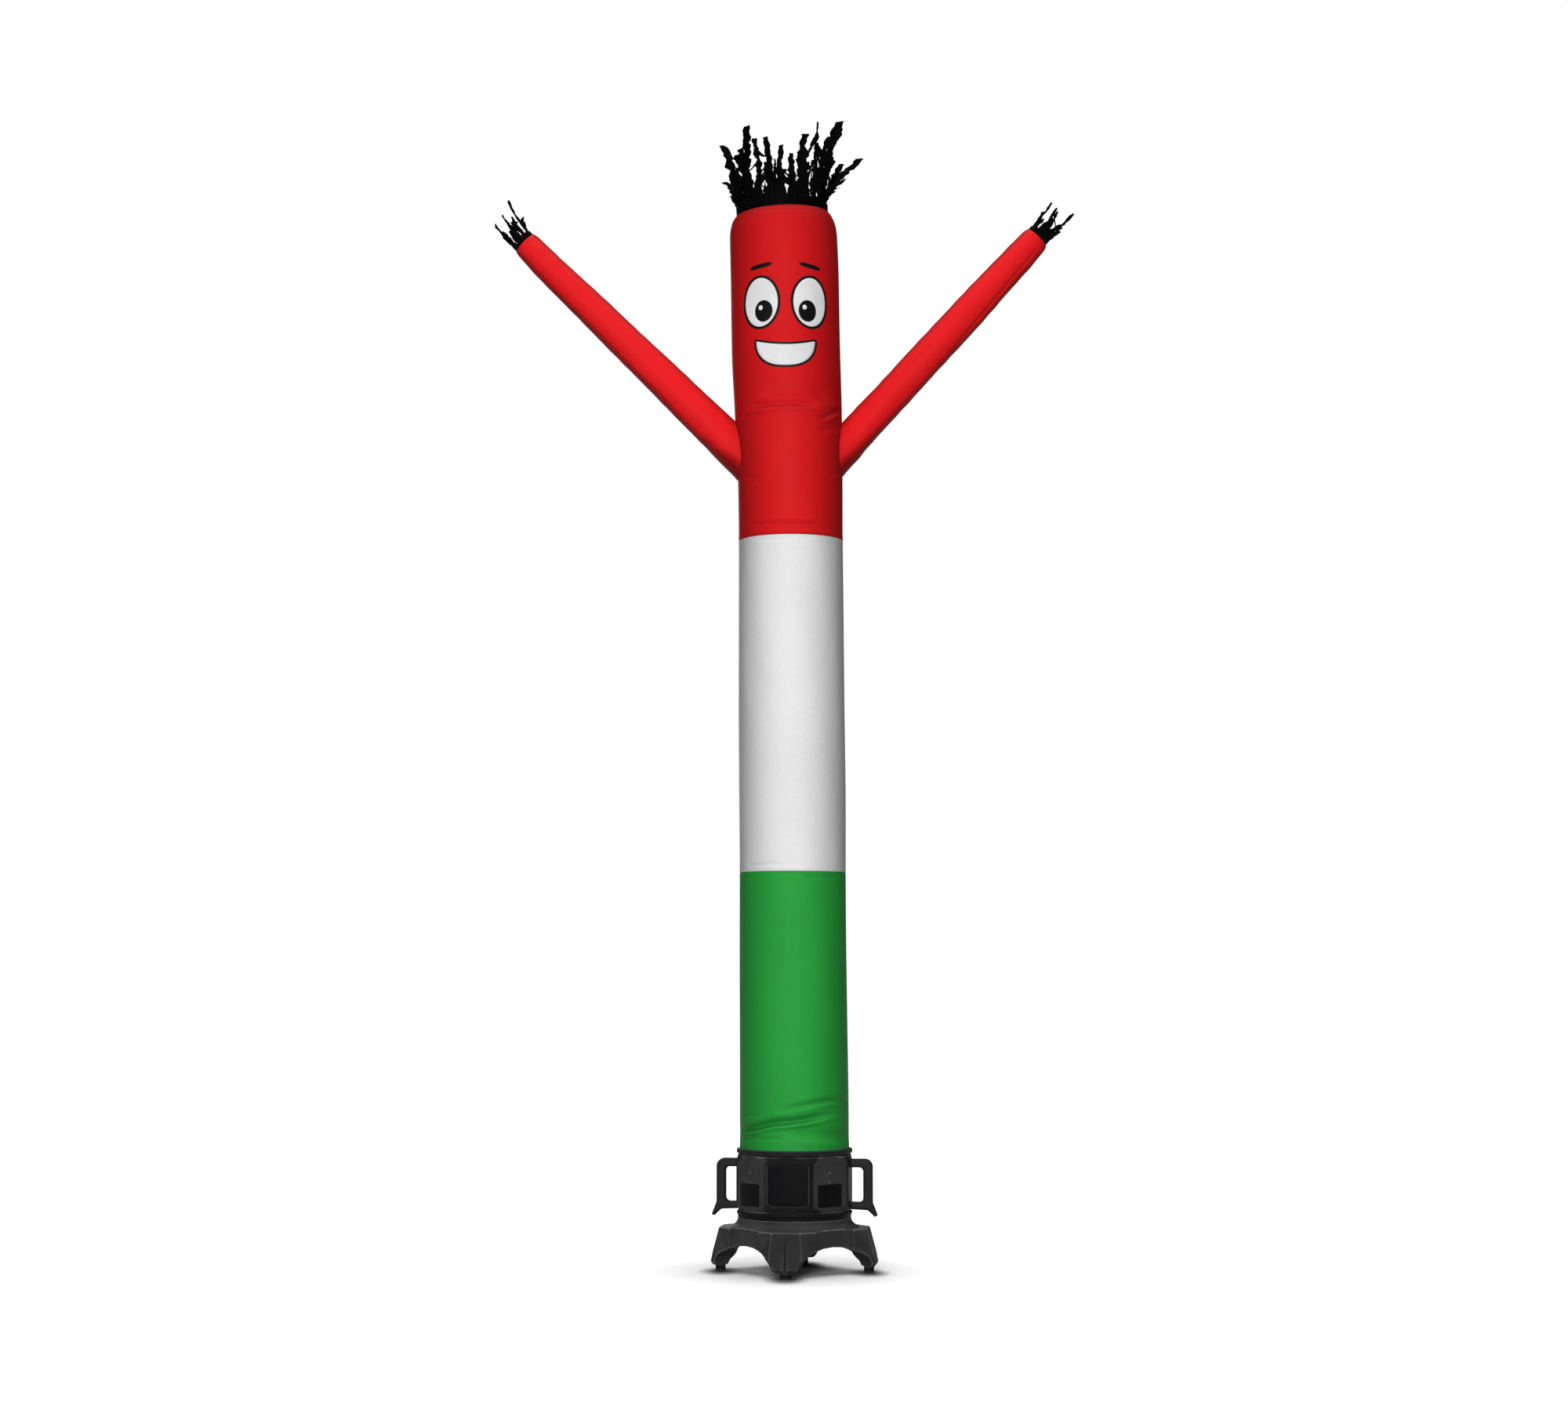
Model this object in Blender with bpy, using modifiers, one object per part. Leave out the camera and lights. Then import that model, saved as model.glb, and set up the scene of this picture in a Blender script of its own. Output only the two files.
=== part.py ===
"""Inflatable air dancer: a cloth tube with two arms and fringed ends, standing on its blower.

Units are metres, +Z is up and the face side looks along -Y. The origin is on the ground, under the
middle of the arm span. Every piece is built around the blower's axis and hangs on one empty, which
stands a little to the right of the origin.
"""

import math

import bmesh
import bpy
from mathutils import Matrix, Vector

# Driving dimensions
AXIS_X = 0.027  # blower's axis, from the middle of the arm span
BLOWER_TURN = math.radians(-7)  # the blower stands a little turned under the figure
CLOTH = 0.0015  # nylon with its coating, as a solid
GAP = 0.0003  # between pieces that touch
ROUND = 32  # sides of everything that is round
MERGE = 0.0001

# The tube, bottom hem to head hem: height, sideways lean of its centre, outer radius
TUBE_FORM = (
    (0.3223, 0.000, 0.1524),
    (0.481, -0.001, 0.1520),
    (0.700, -0.003, 0.1510),
    (1.112, -0.005, 0.1500),
    (1.364, -0.006, 0.1510),
    (1.812, -0.009, 0.1490),
    (2.059, -0.010, 0.1480),
    (2.200, -0.011, 0.1490),
    (2.447, -0.018, 0.1540),
    (2.607, -0.024, 0.1560),
    (2.837, -0.028, 0.1560),
    (2.935, -0.031, 0.1550),
    (2.960, -0.032, 0.1535),
    (2.980, -0.033, 0.1490),
    (2.995, -0.034, 0.1425),
    (3.006, -0.034, 0.1345),
)
TUBE_FOOT = TUBE_FORM[0][0]
GREEN_TOP = TUBE_FORM[3][0]
WHITE_TOP = TUBE_FORM[6][0]
HEAD_HEM = TUBE_FORM[-1][0]
HEAD_TILT = math.radians(2.8)  # the open top looks a little to the left
TILT_START = 2.84  # height where the head starts to tilt

# Where each cloth section has its rings: from height, to height, number of steps
GREEN_RINGS = (
    (TUBE_FOOT, 0.350, 1),
    (0.350, 0.515, 12),
    (0.515, 0.700, 2),
    (0.700, GREEN_TOP, 2),
)
WHITE_RINGS = (
    (GREEN_TOP + GAP, 2.010, 4),
    (2.010, WHITE_TOP, 2),
)
RED_RINGS = (
    (WHITE_TOP + GAP, 2.105, 4),
    (2.105, 2.395, 3),
    (2.395, 2.500, 8),
    (2.500, TILT_START, 3),
    (TILT_START, 2.960, 2),
    (2.960, HEAD_HEM, 4),
)

# Folds of the tube: from angle and height, to angle and height, depth, half width.
# Angles are in degrees round the tube, 0 to the right and -90 to the front.
TUBE_FOLDS = (
    (-215, 0.387, -118, 0.409, 0.0075, 0.011),
    (-145, 0.400, -40, 0.440, 0.0065, 0.011),
    (-98, 0.463, 8, 0.477, 0.0060, 0.011),
    (-178, 0.478, -120, 0.470, 0.0030, 0.012),
    (-95, 0.392, -12, 0.378, 0.0035, 0.010),
    (40, 0.410, 130, 0.392, 0.0060, 0.012),
    (60, 0.452, 120, 0.470, 0.0040, 0.011),
    (-195, 2.444, -92, 2.427, 0.0055, 0.013),
    (-122, 2.428, -30, 2.432, 0.0065, 0.013),
    (-62, 2.388, -4, 2.444, 0.0060, 0.012),
    (-88, 2.456, -16, 2.454, 0.0030, 0.013),
    (70, 2.440, 150, 2.460, 0.0045, 0.014),
    (-165, 2.093, -30, 2.089, 0.0022, 0.008),
    (20, 2.090, 160, 2.094, 0.0022, 0.008),
)
FOLD_RIDGE = 0.45  # height of the ridge beside a fold, as a share of the fold's depth
RIDGE_AT = 1.9  # where that ridge lies, in half widths from the fold's line
FOLD_REACH = 0.06  # beyond a fold's heights it has no effect

# Arms: where each hand hem and shoulder lie in the plane of the figure, as x and z
ARMS = {
    "arm_left": {"hand": (-0.776, 2.926), "shoulder": (-0.167, 2.327)},
    "arm_right": {"hand": (0.699, 2.943), "shoulder": (0.137, 2.326)},
}
ARM_FORM = (  # distance from the hand hem, outer radius
    (0.000, 0.0365),
    (0.060, 0.0415),
    (0.180, 0.0450),
    (0.300, 0.0480),
    (0.460, 0.0505),
    (0.620, 0.0525),
    (0.740, 0.0560),
    (0.800, 0.0605),
    (0.850, 0.0660),
    (0.950, 0.0680),
)
ARM_SIDES = 20

# Fringes: a ring strip inside each hem, and the ribbons that stand on it
FRINGE_STRIP = 0.003  # thickness of the strip
RIBBON = 0.0022  # thickness of a ribbon
RIBBON_SHARE = 0.80  # of the pitch round the strip, the rest is the gap to the next ribbon
RIBBON_WIDTHS = (0.92, 1.06, 0.90, 1.08, 0.66)  # along a ribbon, of its stated width
BOW_AT = 0.45  # of its height, where a ribbon bows most
HAIR_RADIUS = 0.1318
HAIR_STRIP = (-0.012, 0.030)  # lower and upper edge, from the hem
HAIR = (  # tip outwards, sideways and up from its root; width; twist in degrees; bow sideways
    (0.034, -0.004, 0.084, 0.018, -30, -0.006),
    (0.040, 0.002, 0.178, 0.022, 55, 0.018),
    (0.015, 0.006, 0.096, 0.020, -35, -0.008),
    (0.000, 0.000, 0.216, 0.030, 20, -0.012),
    (0.004, -0.002, 0.174, 0.024, -50, 0.010),
    (0.002, -0.004, 0.177, 0.024, 35, 0.012),
    (0.001, 0.010, 0.145, 0.020, 50, -0.010),
    (0.000, 0.002, 0.121, 0.022, -40, 0.008),
    (-0.002, 0.018, 0.181, 0.028, 25, -0.012),
    (0.012, 0.026, 0.222, 0.022, -60, 0.014),
    (0.036, 0.008, 0.176, 0.018, 60, -0.014),
    (0.058, 0.006, 0.232, 0.028, -25, 0.016),
    (0.105, 0.004, 0.126, 0.026, -50, 0.020),
    (0.060, -0.004, 0.131, 0.020, 40, -0.010),
    (0.045, 0.010, 0.160, 0.024, -20, 0.012),
    (0.020, -0.008, 0.200, 0.022, 65, -0.010),
    (0.014, -0.006, 0.162, 0.024, -45, 0.012),
    (-0.004, 0.012, 0.122, 0.026, 25, -0.008),
    (0.010, -0.010, 0.150, 0.020, -65, 0.010),
    (0.006, 0.008, 0.172, 0.026, 40, -0.014),
    (0.012, -0.010, 0.186, 0.022, -30, 0.010),
    (0.026, 0.006, 0.192, 0.024, 55, -0.012),
    (0.028, -0.006, 0.140, 0.022, -40, 0.010),
    (0.030, 0.008, 0.164, 0.022, 30, -0.014),
)
HAND_RADIUS = 0.0340
HAND_STRIP = (-0.008, 0.022)
HANDS = {
    "hand_fringe_left": (
        (-0.012, 0.002, 0.082, 0.011, 50, 0.006),
        (-0.004, -0.004, 0.055, 0.010, -40, -0.004),
        (0.002, 0.022, 0.084, 0.011, 30, 0.004),
        (0.002, 0.010, 0.063, 0.010, -50, -0.005),
        (0.023, 0.002, 0.102, 0.012, 85, 0.008),
        (0.018, -0.004, 0.042, 0.012, -70, 0.004),
        (0.010, 0.004, 0.066, 0.010, 45, -0.004),
        (0.006, -0.004, 0.080, 0.011, -35, 0.006),
        (-0.004, 0.004, 0.060, 0.010, 30, -0.004),
    ),
    "hand_fringe_right": (
        (0.004, 0.002, 0.085, 0.011, -45, -0.006),
        (0.006, -0.004, 0.060, 0.010, 35, 0.004),
        (0.002, -0.002, 0.082, 0.010, -30, 0.005),
        (0.000, -0.018, 0.087, 0.011, 40, -0.004),
        (0.001, 0.004, 0.102, 0.012, -35, 0.008),
        (0.008, 0.002, 0.043, 0.011, 25, -0.004),
        (0.006, -0.004, 0.070, 0.010, -40, 0.005),
        (0.006, 0.004, 0.076, 0.011, 30, -0.004),
        (0.004, -0.002, 0.056, 0.010, -25, 0.005),
    ),
}

# Blower housing, turned round its axis and then cut to eight flats
FLAT = 0.157  # from the axis to a flat
CORNER_BEVEL = 0.007
FLATS = 8
HOUSING_FOOT = 0.1698
BORE = 0.147
LEDGE = TUBE_FOOT - GAP  # the tube's bottom hem stands on it
SPIGOT = 0.1503  # the tube's bottom hem sleeves over it
HOUSING_FORM = (  # radius and height, down the outside and up the inside
    (0.1550, 0.3420),
    (0.1600, 0.3420),
    (0.1625, 0.3395),
    (0.1625, 0.3310),
    (0.1605, 0.3285),
    (0.1565, 0.3275),
    (0.1565, 0.3225),
    (0.1705, 0.3020),
    (0.1705, 0.1940),
    (0.1580, 0.1760),
    (0.1580, HOUSING_FOOT),
    (BORE, HOUSING_FOOT),
    (BORE, 0.3380),
    (SPIGOT, 0.3380),
    (SPIGOT, LEDGE),
    (0.1532, LEDGE),
    (0.1532, 0.3400),
)
FLATS_TOP = 0.3255
FLATS_WASTE = 0.04  # wall of the cutter around the flats, more than it takes off
PANEL = {"width": 0.112, "height": 0.108, "centre": 0.2480, "corner": 0.010, "depth": 0.0012}
LABEL = {"width": 0.083, "height": 0.062, "centre": 0.2180, "corner": 0.002, "depth": 0.0010}
LABEL_FLATS = {"left": math.radians(-135), "right": math.radians(-45)}
BOSSES = {"upper": (0.2810, 0.0036), "lower": (0.2560, 0.0030)}  # height, radius
BOSS_RISE = 0.0026
BOSS_SIDES = 12
BOSS_TAPER = 0.6  # radius at its end, of that at the flat

# Handles: outline from the flat outwards, as distance, height and corner radius
HANDLE_DEPTH = 0.030
HANDLE_ROUND = 0.004
HANDLE_FORM = (
    (0.0, 0.3130, 0.001),
    (0.063, 0.3130, 0.022),
    (0.063, 0.1900, 0.010),
    (0.0765, 0.1560, 0.003),
    (0.0690, 0.1530, 0.003),
    (0.0500, 0.1710, 0.014),
    (0.0, 0.1735, 0.001),
    (0.0, 0.1930, 0.001),
    (0.037, 0.1930, 0.010),
    (0.037, 0.2890, 0.010),
    (0.0, 0.2890, 0.001),
)

# Base: neck, deck and skirt with four legs
DECK_TOP = 0.1245
DECK = 0.012
NECK_TOP = HOUSING_FOOT - GAP
NECK_FORM = (  # radius and height
    (BORE, NECK_TOP),
    (0.1590, NECK_TOP),
    (0.1615, 0.1670),
    (0.1615, 0.1620),
    (0.1590, 0.1595),
    (0.1585, 0.1510),
    (0.1600, 0.1430),
    (0.1650, 0.1350),
    (0.1730, 0.1290),
    (0.1790, 0.1265),
    (0.1790, 0.1200),
    (BORE, 0.1200),
)
SKIRT = (0.176, 0.077)  # where a leg leaves the skirt: outwards, sideways
LEG_FORM = (  # height, reach of a leg's outer face, its half width
    (DECK_TOP, 0.2080, 0.0390),
    (0.0550, 0.2260, 0.0450),
    (0.0270, 0.2330, 0.0300),
    (0.0170, 0.2260, 0.0200),
)
LEGS = 4
ARCH = (  # the arch between two legs: distance from its middle, height
    (0.000, 0.0790),
    (0.035, 0.0765),
    (0.070, 0.0670),
    (0.100, 0.0560),
    (0.118, 0.0435),
    (0.128, 0.0305),
    (0.1325, 0.0175),
    (0.1345, -0.0200),
)
TUNNEL = 0.60  # each pair of arches is cut in one run across the base
HOLLOW_FORM = (  # radius and height
    (0.0, DECK_TOP - DECK),
    (0.1650, DECK_TOP - DECK),
    (0.1650, 0.0500),
    (0.1940, 0.0060),
    (0.1940, -0.0100),
    (0.0, -0.0100),
)
GROOVE = {"top": 0.0012, "bottom": 0.0090, "from": 0.1330, "to": 0.0190}
INLET = {"slots": 16, "inner": 0.045, "outer": 0.132, "width": 0.009}
PAD_REACH = 0.209
PAD_SIDES = 16
PAD_FORM = (  # radius and height
    (0.0, 0.0167),
    (0.0145, 0.0167),
    (0.0145, 0.0030),
    (0.0125, 0.0),
    (0.0, 0.0),
)

GLAND_HEIGHT = 0.2150
GLAND_SIDES = 16
GLAND_FORM = (  # radius, distance from the flat
    (0.0035, 0.0240),
    (0.0085, 0.0240),
    (0.0095, 0.0225),
    (0.0095, 0.0060),
    (0.0140, 0.0050),
    (0.0140, GAP),
    (0.0035, GAP),
)

COLOURS = {  # linear colour, roughness
    "red_cloth": ((0.60, 0.016, 0.018), 0.62),
    "white_cloth": ((0.74, 0.76, 0.75), 0.62),
    "green_cloth": ((0.024, 0.33, 0.048), 0.62),
    "black_ribbon": ((0.006, 0.006, 0.006), 0.75),
    "housing_plastic": ((0.030, 0.030, 0.032), 0.55),
    "handle_plastic": ((0.016, 0.016, 0.017), 0.42),
    "label_black": ((0.008, 0.008, 0.009), 0.35),
    "boss_metal": ((0.22, 0.22, 0.23), 0.35),
    "pad_rubber": ((0.012, 0.012, 0.012), 0.85),
}
METALS = ("boss_metal",)

UPRIGHT = Matrix.Identity(4)
BLOWER = Matrix.Rotation(BLOWER_TURN, 4, "Z")


def clear_scene():
    for item in list(bpy.data.objects):
        bpy.data.objects.remove(item, do_unlink=True)


def new_collection(name):
    collection = bpy.data.collections.new(name)
    bpy.context.scene.collection.children.link(collection)
    return collection


def new_material(name):
    colour, roughness = COLOURS[name]
    material = bpy.data.materials.new(name)
    material.use_nodes = True
    shader = material.node_tree.nodes["Principled BSDF"]
    shader.inputs["Base Color"].default_value = (*colour, 1)
    shader.inputs["Roughness"].default_value = roughness
    shader.inputs["Metallic"].default_value = 1.0 if name in METALS else 0.0
    material.diffuse_color = (*colour, 1)
    return material


def add_part(name, data, finish, parent, place=UPRIGHT):
    """Links a piece to the part's collection, under the empty, with a material of its own."""
    piece = bpy.data.objects.new(name, data)
    bpy.data.collections["air_dancer"].objects.link(piece)
    piece.parent = parent
    piece.matrix_local = place
    material = new_material(finish)
    material.name = f"{name}_{finish}"
    data.materials.clear()
    data.materials.append(material)
    return piece


def add_cutter(name, data, parent, place=UPRIGHT):
    cutter = bpy.data.objects.new(name, data)
    bpy.data.collections["cutters"].objects.link(cutter)
    cutter.parent = parent
    cutter.matrix_local = place
    cutter.hide_render = True
    cutter.display_type = "WIRE"
    return cutter


def mesh_of(bm, name):
    mesh = bpy.data.meshes.new(name)
    bm.to_mesh(mesh)
    bm.free()
    return mesh


def shade(mesh, angle=30):
    mesh.shade_smooth()
    mesh.set_sharp_from_angle(angle=math.radians(angle))
    return mesh


def boolean(piece, other, operation="DIFFERENCE", solver="EXACT"):
    modifier = piece.modifiers.new(f"{operation.lower()}_{other.name}", "BOOLEAN")
    modifier.operation = operation
    modifier.object = other
    modifier.solver = solver


def solidify(piece, thickness):
    """Gives an open surface its wall, on the inner side."""
    modifier = piece.modifiers.new("wall", "SOLIDIFY")
    modifier.thickness = thickness
    modifier.offset = -1
    modifier.use_even_offset = True


def between(rows, value, column):
    """Reads a column of a table at a value of its first column, in straight lines."""
    for low, high in zip(rows, rows[1:]):
        if value <= high[0]:
            break
    share = (value - low[0]) / (high[0] - low[0])
    return low[column] + share * (high[column] - low[column])


def smooth_step(share):
    share = min(max(share, 0.0), 1.0)
    return share * share * (3 - 2 * share)


def ring_levels(stretches):
    levels = [stretches[0][0]]
    for low, high, steps in stretches:
        levels += [low + (high - low) * step / steps for step in range(1, steps + 1)]
    return levels


def rolled_sheet(sides, levels, place):
    """A grid rolled up into an open tube: place(angle, level) says where each of its points lies."""
    bm = bmesh.new()
    bmesh.ops.create_grid(bm, x_segments=sides, y_segments=len(levels) - 1, size=0.5)
    for vert in bm.verts:
        angle = (vert.co.x + 0.5) * math.tau
        level = levels[round((vert.co.y + 0.5) * (len(levels) - 1))]
        vert.co = place(angle, level)
    bmesh.ops.remove_doubles(bm, verts=bm.verts, dist=MERGE)
    bmesh.ops.triangulate(bm, faces=bm.faces, quad_method="FIXED")
    return bm


def rolled_solid(name, sides, levels, place):
    """The same tube with its two ends closed, for a cutter."""
    bm = rolled_sheet(sides, levels, place)
    bmesh.ops.holes_fill(bm, edges=bm.edges, sides=0)
    return mesh_of(bm, name)


# ---- the tube ----


def fold_depth(angle, height):
    """How far the folds draw the cloth in at a point of the tube."""
    depth = 0.0
    radius = between(TUBE_FORM, height, 2)
    for from_angle, from_height, to_angle, to_height, deep, half in TUBE_FOLDS:
        lowest, highest = sorted((from_height, to_height))
        if not lowest - FOLD_REACH < height < highest + FOLD_REACH:
            continue
        span = Vector((math.radians(to_angle - from_angle) * radius, to_height - from_height))
        for lap in (-360, 0):
            start = Vector((math.radians(from_angle) * radius, from_height))
            point = Vector(((angle + math.radians(lap)) * radius, height)) - start
            share = point.dot(span) / span.length_squared
            if not 0 < share < 1:
                continue
            away = (point - span * share).y / half
            fade = smooth_step(4 * share) * smooth_step(4 * (1 - share))
            trough = math.exp(-away * away)
            ridge = math.exp(-((abs(away) - RIDGE_AT) ** 2))
            depth += deep * fade * (trough - FOLD_RIDGE * ridge)
    return depth


def tube_point(angle, height, proud=0.0):
    """A point of the tube's outer face. The rings tilt towards the head hem."""
    angle += BLOWER_TURN
    radius = between(TUBE_FORM, height, 2) - fold_depth(angle, height) + proud
    x = radius * math.cos(angle)
    tilt = smooth_step((height - TILT_START) / (HEAD_HEM - TILT_START)) * math.tan(HEAD_TILT)
    return Vector((between(TUBE_FORM, height, 1) + x, radius * math.sin(angle), height + x * tilt))


def make_tube(parent):
    """Three cloth sections, butted at their seams. The arms join the red one."""
    sections = {
        "tube_green": (GREEN_RINGS, "green_cloth"),
        "tube_white": (WHITE_RINGS, "white_cloth"),
        "tube_red": (RED_RINGS, "red_cloth"),
    }
    tubes = {}
    for name, (stretches, finish) in sections.items():
        bm = rolled_sheet(ROUND, ring_levels(stretches), tube_point)
        tubes[name] = add_part(name, shade(mesh_of(bm, name)), finish, parent)
        solidify(tubes[name], CLOTH)
    return tubes["tube_red"]


# ---- the arms ----


def arm_frame(arm):
    """The hand hem's centre with the arm's axes: Z runs from the hand to the shoulder."""
    hand = Vector((arm["hand"][0], 0, arm["hand"][1]))
    shoulder = Vector((arm["shoulder"][0], 0, arm["shoulder"][1]))
    along = (shoulder - hand).normalized()
    across = Vector((0, 1, 0))
    upper = across.cross(along)
    turn = Matrix((upper, across, along)).transposed().to_4x4()
    return Matrix.Translation(hand) @ turn


def make_arms(parent, body):
    """Two tapered tubes, cut to the body at the shoulder and open at the hand."""
    levels = [row[0] for row in ARM_FORM]
    for name, arm in ARMS.items():
        frame = arm_frame(arm)

        def point(angle, distance, proud=0.0):
            radius = between(ARM_FORM, distance, 1) + proud
            return frame @ Vector((radius * math.cos(angle), radius * math.sin(angle), distance))

        bm = rolled_sheet(ARM_SIDES, levels, point)
        sleeve = add_part(name, shade(mesh_of(bm, name)), "red_cloth", parent)
        solidify(sleeve, CLOTH)

        inner = rolled_solid(f"{name}_hole", ARM_SIDES, levels, lambda a, d: point(a, d, -CLOTH))
        boolean(body, add_cutter(f"{name}_hole", inner, parent))

        heights = ring_levels(RED_RINGS[1:4])
        outer = rolled_solid(f"{name}_trim", ROUND, heights, lambda a, h: tube_point(a, h, GAP))
        boolean(sleeve, add_cutter(f"{name}_trim", outer, parent))


# ---- the fringes ----


def grow_ribbon(bm, face, row):
    """Draws one ribbon out of a face on the strip's upper edge."""
    outwards, sideways, up, width, twist, bow = row
    root = face.calc_center_median()
    out = Vector((root.x, root.y, 0)).normalized()
    side = Vector((0, 0, 1)).cross(out)
    corners = [
        (math.copysign(0.5, (vert.co - root).dot(side)), math.copysign(0.5, (vert.co - root).dot(out)))
        for vert in face.verts
    ]
    tip = root + out * outwards + side * sideways + Vector((0, 0, up))
    lift = root + side * bow + Vector((0, 0, up * BOW_AT))
    for step, fullness in enumerate(RIBBON_WIDTHS, start=1):
        share = step / len(RIBBON_WIDTHS)
        centre = root * (1 - share) ** 2 + lift * 2 * share * (1 - share) + tip * share**2
        turned = Matrix.Rotation(math.radians(twist) * share, 3, "Z")
        face = bmesh.ops.extrude_discrete_faces(bm, faces=[face])["faces"][0]
        for vert, (across, through) in zip(face.verts, corners):
            vert.co = centre + turned @ (side * across * width * fullness + out * through * RIBBON)


def make_fringe(name, radius, strip, rows, frame, parent):
    """A ring strip with one ribbon for each row, all one solid."""
    pitch = math.tau / len(rows)

    def point(angle, height):
        corner = round(angle / math.tau * 2 * len(rows))
        turned = (corner // 2 + (corner % 2) * RIBBON_SHARE) * pitch + math.pi - pitch / 2
        return Vector((radius * math.cos(turned), radius * math.sin(turned), height))

    bm = rolled_sheet(2 * len(rows), list(strip), point)
    bmesh.ops.recalc_face_normals(bm, faces=bm.faces)
    bmesh.ops.solidify(bm, geom=bm.faces[:], thickness=FRINGE_STRIP)
    bmesh.ops.recalc_face_normals(bm, faces=bm.faces)
    top = [face for face in bm.faces if face.normal.z > 0.9]
    roots = []
    for index in range(len(rows)):
        middle = (index + RIBBON_SHARE / 2) * pitch + math.pi - pitch / 2
        target = Vector((math.cos(middle), math.sin(middle), 0))
        roots.append(max(top, key=lambda f: f.calc_center_median().dot(target)))
    for face, row in zip(roots, rows):
        grow_ribbon(bm, face, row)
    bm.transform(frame)
    add_part(name, shade(mesh_of(bm, name)), "black_ribbon", parent)


def make_fringes(parent):
    lean = Vector((TUBE_FORM[-1][1], 0, HEAD_HEM))
    head = Matrix.Translation(lean) @ Matrix.Rotation(-HEAD_TILT, 4, "Y")
    make_fringe("hair_fringe", HAIR_RADIUS, HAIR_STRIP, HAIR, head, parent)
    for name, rows in HANDS.items():
        arm = ARMS[name.replace("hand_fringe", "arm")]
        outwards = arm_frame(arm) @ Matrix.Rotation(math.pi, 4, "Y")
        make_fringe(name, HAND_RADIUS, HAND_STRIP, rows, outwards, parent)


# ---- the blower ----


def turned_data(name, profile, closed=True):
    """A profile of radius and height as an edge loop, for a Screw modifier."""
    mesh = bpy.data.meshes.new(name)
    points = [(radius, 0, height) for radius, height in profile]
    edges = [(i, i + 1) for i in range(len(points) - 1)]
    if closed:
        edges.append((len(points) - 1, 0))
    mesh.from_pydata(points, edges, [])
    return mesh


def screw(piece, steps=ROUND):
    modifier = piece.modifiers.new("turn", "SCREW")
    modifier.axis = "Z"
    modifier.angle = math.tau
    modifier.steps = steps
    modifier.render_steps = steps
    modifier.use_merge_vertices = True
    modifier.merge_threshold = MERGE
    modifier.use_smooth_shade = False


def rounded_outline(corners, arc_steps=3):
    """A closed outline of x, z and corner radius, with each corner an arc."""
    points = []
    count = len(corners)
    for i, (x, z, radius) in enumerate(corners):
        here = Vector((x, z))
        back = (Vector(corners[i - 1][:2]) - here).normalized()
        ahead = (Vector(corners[(i + 1) % count][:2]) - here).normalized()
        half = back.angle(ahead) / 2
        reach = radius / math.tan(half)
        middle = here + (back + ahead).normalized() * radius / math.sin(half)
        start = here + back * reach - middle
        sweep = (math.pi - 2 * half) * (1 if back.x * ahead.y - back.y * ahead.x < 0 else -1)
        for step in range(arc_steps + 1):
            turn = Matrix.Rotation(sweep * step / arc_steps, 2)
            points.append(middle + turn @ start)
    return points


def plate_object(name, outline, thickness, edge=0.0):
    """A flat plate as a mesh: outline in X and Z, its thickness along Y and centred on it."""
    curve = bpy.data.curves.new(name, "CURVE")
    curve.dimensions = "2D"
    curve.fill_mode = "BOTH"
    curve.extrude = thickness / 2 - edge
    curve.bevel_depth = edge
    curve.bevel_resolution = 0
    curve.offset = -edge
    spline = curve.splines.new("POLY")
    spline.points.add(len(outline) - 1)
    for point, (x, z) in zip(spline.points, outline):
        point.co = (x, z, 0, 1)
    spline.use_cyclic_u = True
    flat = bpy.data.objects.new(name, curve)
    bpy.context.scene.collection.objects.link(flat)
    bpy.context.view_layer.update()
    graph = bpy.context.evaluated_depsgraph_get()
    mesh = bpy.data.meshes.new_from_object(flat.evaluated_get(graph))
    bpy.data.objects.remove(flat, do_unlink=True)
    bm = bmesh.new()
    bm.from_mesh(mesh)
    bmesh.ops.remove_doubles(bm, verts=bm.verts, dist=MERGE)
    bm.transform(Matrix.Rotation(math.pi / 2, 4, "X"))
    bmesh.ops.recalc_face_normals(bm, faces=bm.faces)
    bm.to_mesh(mesh)
    bm.free()
    return mesh


def rectangle(size):
    """Corners of a plate's outline, centred, with one corner radius."""
    x, z, r = size["width"] / 2, size["height"] / 2, size["corner"]
    return [(x, z, r), (-x, z, r), (-x, -z, r), (x, -z, r)]


def on_flat(angle, out, height):
    """The frame of a place on a flat: its -Y looks outwards."""
    turn = Matrix.Rotation(angle + math.pi / 2, 4, "Z")
    return turn @ Matrix.Translation((0, -FLAT - out, height))


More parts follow.
